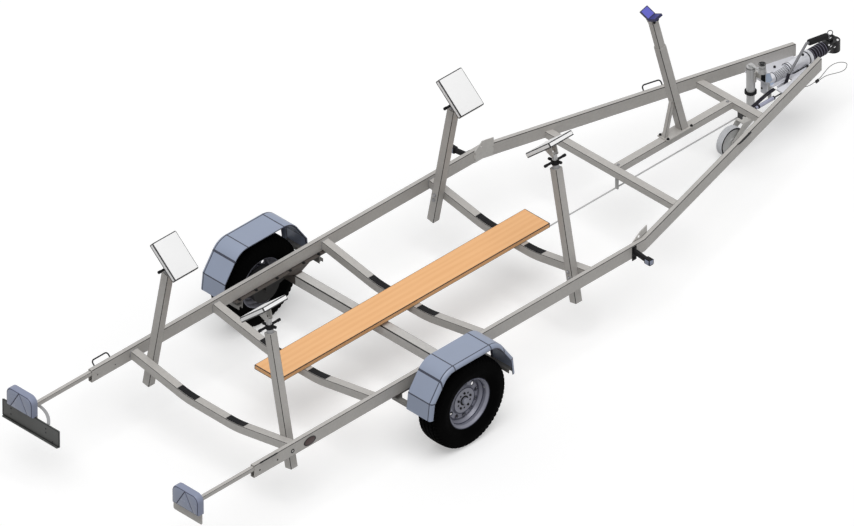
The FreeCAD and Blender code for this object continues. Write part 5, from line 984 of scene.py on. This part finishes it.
def pole_place(side, y, rise):
    """Place on a pole's axis, from its top."""
    return at(side * POLE_FOOT_X, y, POLE_FOOT_Z) + mirrored(side, POLE_UP) * (POLE_LENGTH + rise) / 1000.0


def mast_place(rise):
    """Place on the bow mast's axis, from its top."""
    return POST_FOOT + POST_UP * (POST_LENGTH + MAST_REACH + rise) / 1000.0


def pad_block(bm, y, side):
    """Pad with upright rounded corners and rounded upper edges."""
    slope = mirrored(side, PAD_SLOPE)
    normal = mirrored(side, PAD_NORMAL)
    scaled_cube(bm, (PAD_LENGTH, PAD_WIDTH, PAD_THICKNESS), (0.0, 0.0, PAD_THICKNESS / 2))
    soften(bm, rising(bm, 0.03), 0.0095, 6)
    soften(bm, [edge for edge in bm.edges if all(vert.co.z > 0.035 for vert in edge.verts)], 0.009, 5)
    seated(bm.verts, pole_place(side, y, HINGE_RISE) + normal * PAD_LIFT + slope * PAD_SHIFT, slope, Y, normal)


def wing_face(bm, side):
    """Thin pad set in a wing of the bow block."""
    along = X * side * math.cos(WING_RISE) + POST_UP * math.sin(WING_RISE)
    square = POST_UP * math.cos(WING_RISE) - X * side * math.sin(WING_RISE)
    scaled_cube(bm, (0.064, 0.056, 0.0014), (0.048, 0.0, 0.0157))
    soften(bm, rising(bm, 0.001), 0.003, 3)
    seat = mast_place(36.0) - POST_UP * WING_SEAT * math.tan(WING_RISE) / 1000.0
    seated(bm.verts, seat, along, POST_FORWARD, square)


for end, pole_y in POLE_ENDS:
    for side in SIDES:
        name = "%s_%s" % (end, side_name(side))
        made = fitted("pad_block_" + name, pad_plastic, "pad_" + name, [(pad_block, pole_y, side)], 40.0)
        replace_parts(made, "hull_pad_" + name)
# four-armed hand nuts on the poles, with a plain collar under each
arms = []
collars = []
for _, pole_y in POLE_ENDS:
    for side in SIDES:
        up = mirrored(side, POLE_UP)
        across = mirrored(side, POLE_ACROSS)
        collars.append((spun, COLLAR_OUTLINE, pole_place(side, pole_y, 0.0), up, 36))
        arms.append((spun, NUT_OUTLINE, pole_place(side, pole_y, 0.0), up, 36))
        middle = pole_place(side, pole_y, NUT_RISE)
        for arm, reach in ((Y, 0.096), (Y * -1, 0.096), (across, 0.060), (across * -1, 0.060)):
            arms.append((rod, middle + arm * 0.024, middle + arm * (reach - 0.010), 0.0092, 0.0080, 16))
            arms.append((rod, middle + arm * (reach - 0.026), middle + arm * reach, 0.0105, 0.0105, 18, 0.0030))
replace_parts(fitted("star_nut_arms", black_rubber, "frame", arms), "star_nuts")
fitted("star_nut_collars", fastener, "frame", collars)
# the left wing's face is the lit blue, the right wing's face the same blue with painted shade
for side, finish in ((-1, bow_face), (1, bow_face_shaded)):
    fitted("bow_face_" + side_name(side), finish, "bow_mast", [(wing_face, side)])
fitted("bow_bolts", black_paint, "bow_mast", [
    (bolt, mast_place(14.0) + X * side * 0.030 + POST_FORWARD * shift, X * side, 0.014, 0.006)
    for side in SIDES for shift in (-0.016, 0.016)])


# ---------------------------------------------------------------- side markers
MARKER_X = 896.0
MARKER_LOW_Z = 480.0
MARKER_HIGH_Z = 514.0

# two lens faces of each marker and the bolts of its plate
for side in SIDES:
    low_x, high_x = sorted((side * 918.0, side * 920.4))
    fitted("marker_lens_" + side_name(side), lens, "frame", [
        (block, at(side * MARKER_X - 17.0, 1713.4, MARKER_LOW_Z), at(side * MARKER_X + 17.0, 1716.0, MARKER_HIGH_Z),
         0.0012),
        (block, at(low_x, 1720.0, MARKER_LOW_Z), at(high_x, 1752.0, MARKER_HIGH_Z), 0.0012)])
    fitted("marker_bolts_" + side_name(side), black_paint, "frame", [
        (bolt, at(side * 765.0, 1736.0, z), X * side, 0.013, 0.006, 0.003) for z in (456.0, 532.0)])


# ---------------------------------------------------------------- jockey wheel
JOCKEY_X = -74.0
JOCKEY_Y = 3668.0
JOCKEY_AXLE = at(JOCKEY_X, 3478.0, 106.0)
JOCKEY_GRIP = at(30.0, JOCKEY_Y, 680.0)
JOCKEY_TREAD = ((-0.0235, 0.0900), (-0.0240, 0.1035), (-0.0222, 0.1055), (-0.0035, 0.1060), (-0.0025, 0.1048))
JOCKEY_DISC = ((0.0225, 0.0920), (0.0225, 0.0880), (0.0215, 0.0860), (0.0215, 0.0345), (0.0235, 0.0325),
               (0.0245, 0.0300), (0.0245, 0.0080))
SIDE_RING = ((0.0225, 0.0915), (0.0248, 0.0925), (0.0250, 0.0980), (0.0248, 0.1030), (0.0225, 0.1040))
GRIP_CAP = ((-0.002, 0.0), (-0.002, 0.0125), (0.0010, 0.0125), (0.0018, 0.0110), (0.0018, 0.0))
GRIP_RINGS = (
    # start, end, inner and outer radius
    (-0.001, 0.0008, 0.0127, 0.0170), (-0.004, -0.001, 0.0215, 0.0243),
    (-0.030, -0.027, 0.0230, 0.0243), (-0.074, -0.050, 0.0230, 0.0243),
)

# pale solid tyre round a flat grey disc, with a black ring on each side
fitted("jockey_tread", jockey_rubber, "jockey_wheel", [
    (spun, both_sides(JOCKEY_TREAD), JOCKEY_AXLE, X, 96)])
fitted("jockey_side_rings", black_rubber, "jockey_wheel", [
    (spun, SIDE_RING, JOCKEY_AXLE, X * side, 96) for side in SIDES])
disc = fitted("jockey_disc", jockey_plastic, "jockey_wheel", [
    (spun, both_sides(JOCKEY_DISC), JOCKEY_AXLE, X, 96)])
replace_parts(disc, "jockey_wheel")
# ring at the tube's foot, cap and rings of the crank, and nuts of the fork
fitted("tube_ring", black_rubber, "frame", [
    (sleeve, -0.002, 0.0165, 0.0306, 0.0408, at(JOCKEY_X, JOCKEY_Y, 400.0), Z, 48)])
fitted("grip_cap", pad_plastic, "frame", [(spun, GRIP_CAP, JOCKEY_GRIP, Z, 40)])
fitted("crank_rings", black_rubber, "frame", [
    (sleeve, *row, JOCKEY_GRIP, Z, 40) for row in GRIP_RINGS] + [
    (sleeve, -0.012, -0.008, 0.0296, 0.0306, at(JOCKEY_X, JOCKEY_Y, 608.0), Z, 40)])
fitted("fork_nuts", fastener, "jockey_fork", [
    (bolt, JOCKEY_AXLE + X * side * 0.0335, X * side, 0.017, 0.007) for side in SIDES])


# ---------------------------------------------------------------- drawbar
COUPLING_Z = 492.0
LEVER_X = 66.0
LEVER_PIVOT = at(LEVER_X, 3838.0, 407.0)
LEVER_KNEE = at(LEVER_X, 3877.0, 503.0)
LEVER_ELBOW = at(LEVER_X, 4045.0, 673.0)
LEVER_TIP = at(LEVER_X, 4241.0, 638.0)
GRIP_RIBS = 15
GRIP_RADIUS = 0.0205
RIB_RADIUS = 0.0222
SPRING_X = 100.0
SPRING_Z = 423.0
GROOVE_Y = 3858.5
GROOVE_RADIUS = 0.0326
FOLD_START_Y = 4137.0
FOLD_PITCH = 23.0
HOUSING_BANDS = (
    # y, width, radius
    (3800.0, 5.0, 0.0330), (3916.0, 5.0, 0.0340), (3927.0, 4.0, 0.0436), (3944.0, 4.0, 0.0436),
    (4110.5, 6.0, 0.0445), (4138.5, 4.0, 0.0484),
)
HOUSING_BOLTS = ((-78.0, 3790.0), (-58.0, 4070.0), (60.0, 4070.0))
BRACKET_OUTLINE = ((3703.0, 581.0), (3739.0, 567.0), (3776.0, 470.0), (3776.0, 461.0), (3749.0, 461.0),
                   (3737.5, 497.0), (3703.0, 513.5))
FITTING = ((-0.004, 0.0), (-0.004, 0.0085), (0.0020, 0.0085), (0.0035, 0.0060), (0.0035, 0.0))
CATCH_PINS = ((42.4, 4300.0, 512.0), (41.0, 4338.0, 487.0), (42.4, 4285.0, 481.0), (9.0, 4330.0, 549.0))
PULL_BAR = ((3429.0, 396.0), (3549.0, 418.0), (3660.0, 452.0), (3738.0, 459.5))


def band(bm, y, width, radius, depth=0.003, centre_x=0.0, centre_z=COUPLING_Z):
    """Flat ring about a line along the trailer."""
    half = width / 2000.0
    sleeve(bm, -half, half, radius - depth, radius, at(centre_x, y, centre_z), Y, 48)


def groove(bm, degrees):
    """Dark strip along the overrun housing, at an angle round it: painted shade of a groove between its ribs."""
    angle = math.radians(degrees)
    out = Vector((math.cos(angle), 0.0, math.sin(angle)))
    middle = at(0.0, GROOVE_Y, COUPLING_Z) + out * GROOVE_RADIUS
    seated(scaled_cube(bm, (0.003, 0.104, 0.0042)), middle, out, Y, Vector((-out.z, 0.0, out.x)))


def nipple(bm, x, y, low, high):
    """Upright round cap between two heights."""
    height = (high - low) / 1000.0
    spun(bm, ((0.0, 0.0), (0.0, 0.0085), (height - 0.002, 0.0085), (height, 0.0065), (height, 0.0)),
         at(x, y, low), Z, 20)


def ribbed_grip(bm):
    """Rubber grip with ribs round it on the handbrake lever's upper arm."""
    run = LEVER_TIP - LEVER_ELBOW
    outline = [(0.022, 0.0), (0.022, 0.0150), (0.027, GRIP_RADIUS)]
    rib = (run.length - 0.034) / GRIP_RIBS
    for index in range(GRIP_RIBS):
        start = 0.030 + rib * index
        outline += [(start, GRIP_RADIUS), (start + rib * 0.25, RIB_RADIUS), (start + rib * 0.75, RIB_RADIUS),
                    (start + rib, GRIP_RADIUS)]
    outline += [(run.length + 0.001, 0.0170), (run.length + 0.001, 0.0)]
    spun(bm, outline, LEVER_ELBOW, run.normalized(), 36)


# grooves as strips of painted shade, edge lines, grease nipples, bolts and bracket of the overrun housing, and
# painted highlights on the ridges of the bellows' folds
fitted("housing_lines", groove_shade_and_lines, "frame", [
    (groove, 7.5 + 15.0 * step) for step in range(-5, 6)] + [(band, *row) for row in HOUSING_BANDS] + [
    (block, at(38.0, 3950.0, 465.8), at(46.0, 4090.0, 468.4), 0.0004),
    (block, at(-11.0, 3701.0, 513.0), at(29.0, 3698.2, 584.0), 0.0004)], 25.0)
fitted("housing_nipples", black_paint, "frame", [
    (nipple, -96.0, 3914.0, 466.0, 478.0), (nipple, -56.0, 3977.0, 466.0, 486.0),
    (nipple, 4.0, 4075.0, 532.0, 546.0)] + [
    (bolt, at(x, y, 466.0), Z, 0.016, 0.007, 0.004) for x, y in HOUSING_BOLTS] + [
    (rod, at(-46.0, 3745.4, 409.0), at(-46.0, 3742.0, 409.0), 0.0075)])
fitted("bracket_plate", pale_blue, "frame", [
    (skin, [[at(x, y, z) for y, z in BRACKET_OUTLINE] for x in (29.6, 30.9)])], 25.0)
# painted highlights: pale rings on the ridges of the bellows' folds
fitted("bellows_fold_highlights", fold_highlight, "frame", [
    (band, FOLD_START_Y + FOLD_PITCH * (index + 0.5), 3.6, 0.0463, 0.002) for index in range(6)])
# split ring and polished fittings of the coupling head
fitted("head_ring", black_paint, "frame", [
    (ring, at(-17.0, 4353.0, 566.0), Vector((0.80, -0.55, 0.22)).normalized(), 0.0170, 0.0030, 40, 8),
    (rod, at(-17.0, 4348.0, 552.0), at(-17.0, 4345.0, 530.0), 0.004, None, 12)])
fitted("head_fittings", nut_metal, "frame", [
    (spun, FITTING, at(38.0, 4368.0, 529.5), Z, 20),
    (spun, FITTING, at(31.0, 4289.0, 521.0), (X + Z).normalized(), 20)] + [
    (rod, at(x, y - 8.0, z - 1.5), at(x, y + 8.0, z + 1.5), 0.0024, None, 12, 0.0006) for x, y, z in CATCH_PINS])
# grip and dark hub sleeve of the handbrake lever
fitted("lever_grip", black_rubber, "handbrake_lever", [(ribbed_grip,)], 25.0)
lever_up = (LEVER_KNEE - LEVER_PIVOT).normalized()
fitted("lever_sleeve", bellows_rubber, "handbrake_lever", [
    (rod, LEVER_PIVOT + lever_up * 0.018, LEVER_KNEE + lever_up * 0.012, 0.0125, 0.0105, 24, 0.001)])
# sleeves on the twin pull bars, and the gas spring's cylinder with its end rings
fitted("pull_bar_sleeves", bellows_rubber, "frame", [
    (swept, [at(x, y, z) for y, z in PULL_BAR], 0.0066, 16) for x in (62.0, 76.0)] + [
    (band, y, 9.0, 0.0142, 0.010, SPRING_X, SPRING_Z) for y in (3563.0, 3704.0)])
fitted("spring_cylinder", spring_steel, "frame", [
    (band, 3633.5, 130.0, 0.0134, 0.004, SPRING_X, SPRING_Z),
    (band, 3546.0, 16.0, 0.0105, 0.006, SPRING_X, SPRING_Z)])


# ---------------------------------------------------------------- safety cable
CABLE_ROUTE = (
    (0.118, 2.892, 0.436), (0.118, 2.915, 0.403), (0.117, 2.952, 0.380), (0.116, 2.997, 0.370),
    (0.115, 3.043, 0.373), (0.115, 3.089, 0.380), (0.114, 3.129, 0.402), (0.112, 3.171, 0.423),
    (0.110, 3.219, 0.428), (0.109, 3.267, 0.417), (0.108, 3.311, 0.398), (0.107, 3.343, 0.376),
    (0.106, 3.356, 0.359), (0.106, 3.353, 0.338), (0.107, 3.336, 0.325), (0.108, 3.299, 0.327),
    (0.109, 3.251, 0.340), (0.111, 3.203, 0.356), (0.113, 3.157, 0.369), (0.115, 3.116, 0.3727),
)
CABLE_DIAMETER = 0.004
FERRULE_START = 4


def safety_cable():
    """Breakaway cable from its eye, out and back into the ferrule."""
    route = [Vector(point) for point in CABLE_ROUTE]
    start, after = route[FERRULE_START:FERRULE_START + 2]
    run = (after - start).normalized()
    route.append(start + run * 0.024 + X.cross(run) * -0.011)
    curve, cable = thread_curve("safety_cable", route, "NURBS", 16, CABLE_DIAMETER / 2, 3)
    curve.materials.append(rope_steel)
    bpy.context.scene.collection.objects.link(cable)
    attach(cable, "frame")
    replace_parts(cable, "breakaway_cable")


safety_cable()


# ---------------------------------------------------------------- studio
WHITE = (1.0, 1.0, 1.0, 1.0)
FLOOR_LIT = (0.36, 0.36, 0.36, 1.0)
FLOOR_SEEN = (0.72, 0.72, 0.72, 1.0)
FLOOR_GLOW = 0.36
FLOOR_SIZE = 60.0
WORLD_STRENGTH = 0.336
KEY_ENERGY = 1.95
KEY_ANGLE = math.radians(50.0)
KEY_FROM = (0.25, -0.25, 0.94)
VIEW_CENTRE = (-0.16142, -0.27237, 0.44166)
VIEW_FROM = (1.0, -1.0, 1.0)
VIEW_DISTANCE = 162.9
LENS_LENGTH = 1060.0


def looking(direction):
    """Turn that points local Z along a direction."""
    return direction.to_track_quat("Z", "Y").to_matrix().to_4x4()


def seen_rays(tree):
    """1 for rays of the camera, of mirrors and of glass, else 0."""
    path = node(tree, "LightPath")
    return largest(tree, *[path.outputs["Is %s Ray" % kind] for kind in ("Camera", "Glossy", "Transmission")])


def studio_floor():
    """Pale floor that looks evenly lit."""
    bm = bmesh.new()
    bmesh.ops.create_grid(bm, x_segments=1, y_segments=1, size=FLOOR_SIZE)
    mesh = bpy.data.meshes.new("studio_floor")
    bm.to_mesh(mesh)
    bm.free()
    floor = bpy.data.objects.new("studio_floor", mesh)
    bpy.context.scene.collection.objects.link(floor)
    material, tree, shader = new_material("studio floor")
    seen = seen_rays(tree)
    fill(tree, shader, {
        "Base Color": blend_colour(tree, seen, FLOOR_LIT, FLOOR_SEEN), "Roughness": 1.0, "Specular IOR Level": 0.0,
        "Emission Color": WHITE, "Emission Strength": ramp(tree, seen, 0.0, 1.0, 0.0, FLOOR_GLOW)})
    mesh.materials.append(material)


def studio_world():
    """White surroundings, dimmer as a light than as a backdrop."""
    world = bpy.data.worlds.new("studio world")
    world.use_nodes = True
    sky = world.node_tree
    sky.nodes.clear()
    strength = ramp(sky, seen_rays(sky), 0.0, 1.0, WORLD_STRENGTH, 1.0)
    background = node(sky, "Background", values={"Color": WHITE, "Strength": strength})
    node(sky, "OutputWorld", values={"Surface": background.outputs[0]})
    bpy.context.scene.world = world


def studio_light():
    """Soft light from above."""
    key = bpy.data.lights.new("overhead key", "SUN")
    key.energy = KEY_ENERGY
    key.angle = KEY_ANGLE
    lamp = bpy.data.objects.new("overhead_key", key)
    lamp.matrix_world = looking(Vector(KEY_FROM))
    bpy.context.scene.collection.objects.link(lamp)


def studio_camera():
    """Long lens from the rear right."""
    camera = bpy.data.cameras.new("camera")
    camera.lens = LENS_LENGTH
    camera.sensor_width = 36.0
    camera.clip_start = 1.0
    camera.clip_end = 1000.0
    eye = bpy.data.objects.new("camera", camera)
    direction = Vector(VIEW_FROM).normalized()
    eye.matrix_world = Matrix.Translation(Vector(VIEW_CENTRE) + direction * VIEW_DISTANCE) @ looking(direction)
    bpy.context.scene.collection.objects.link(eye)
    bpy.context.scene.camera = eye
    bpy.context.scene.view_settings.view_transform = "Standard"


studio_floor()
studio_world()
studio_light()
studio_camera()
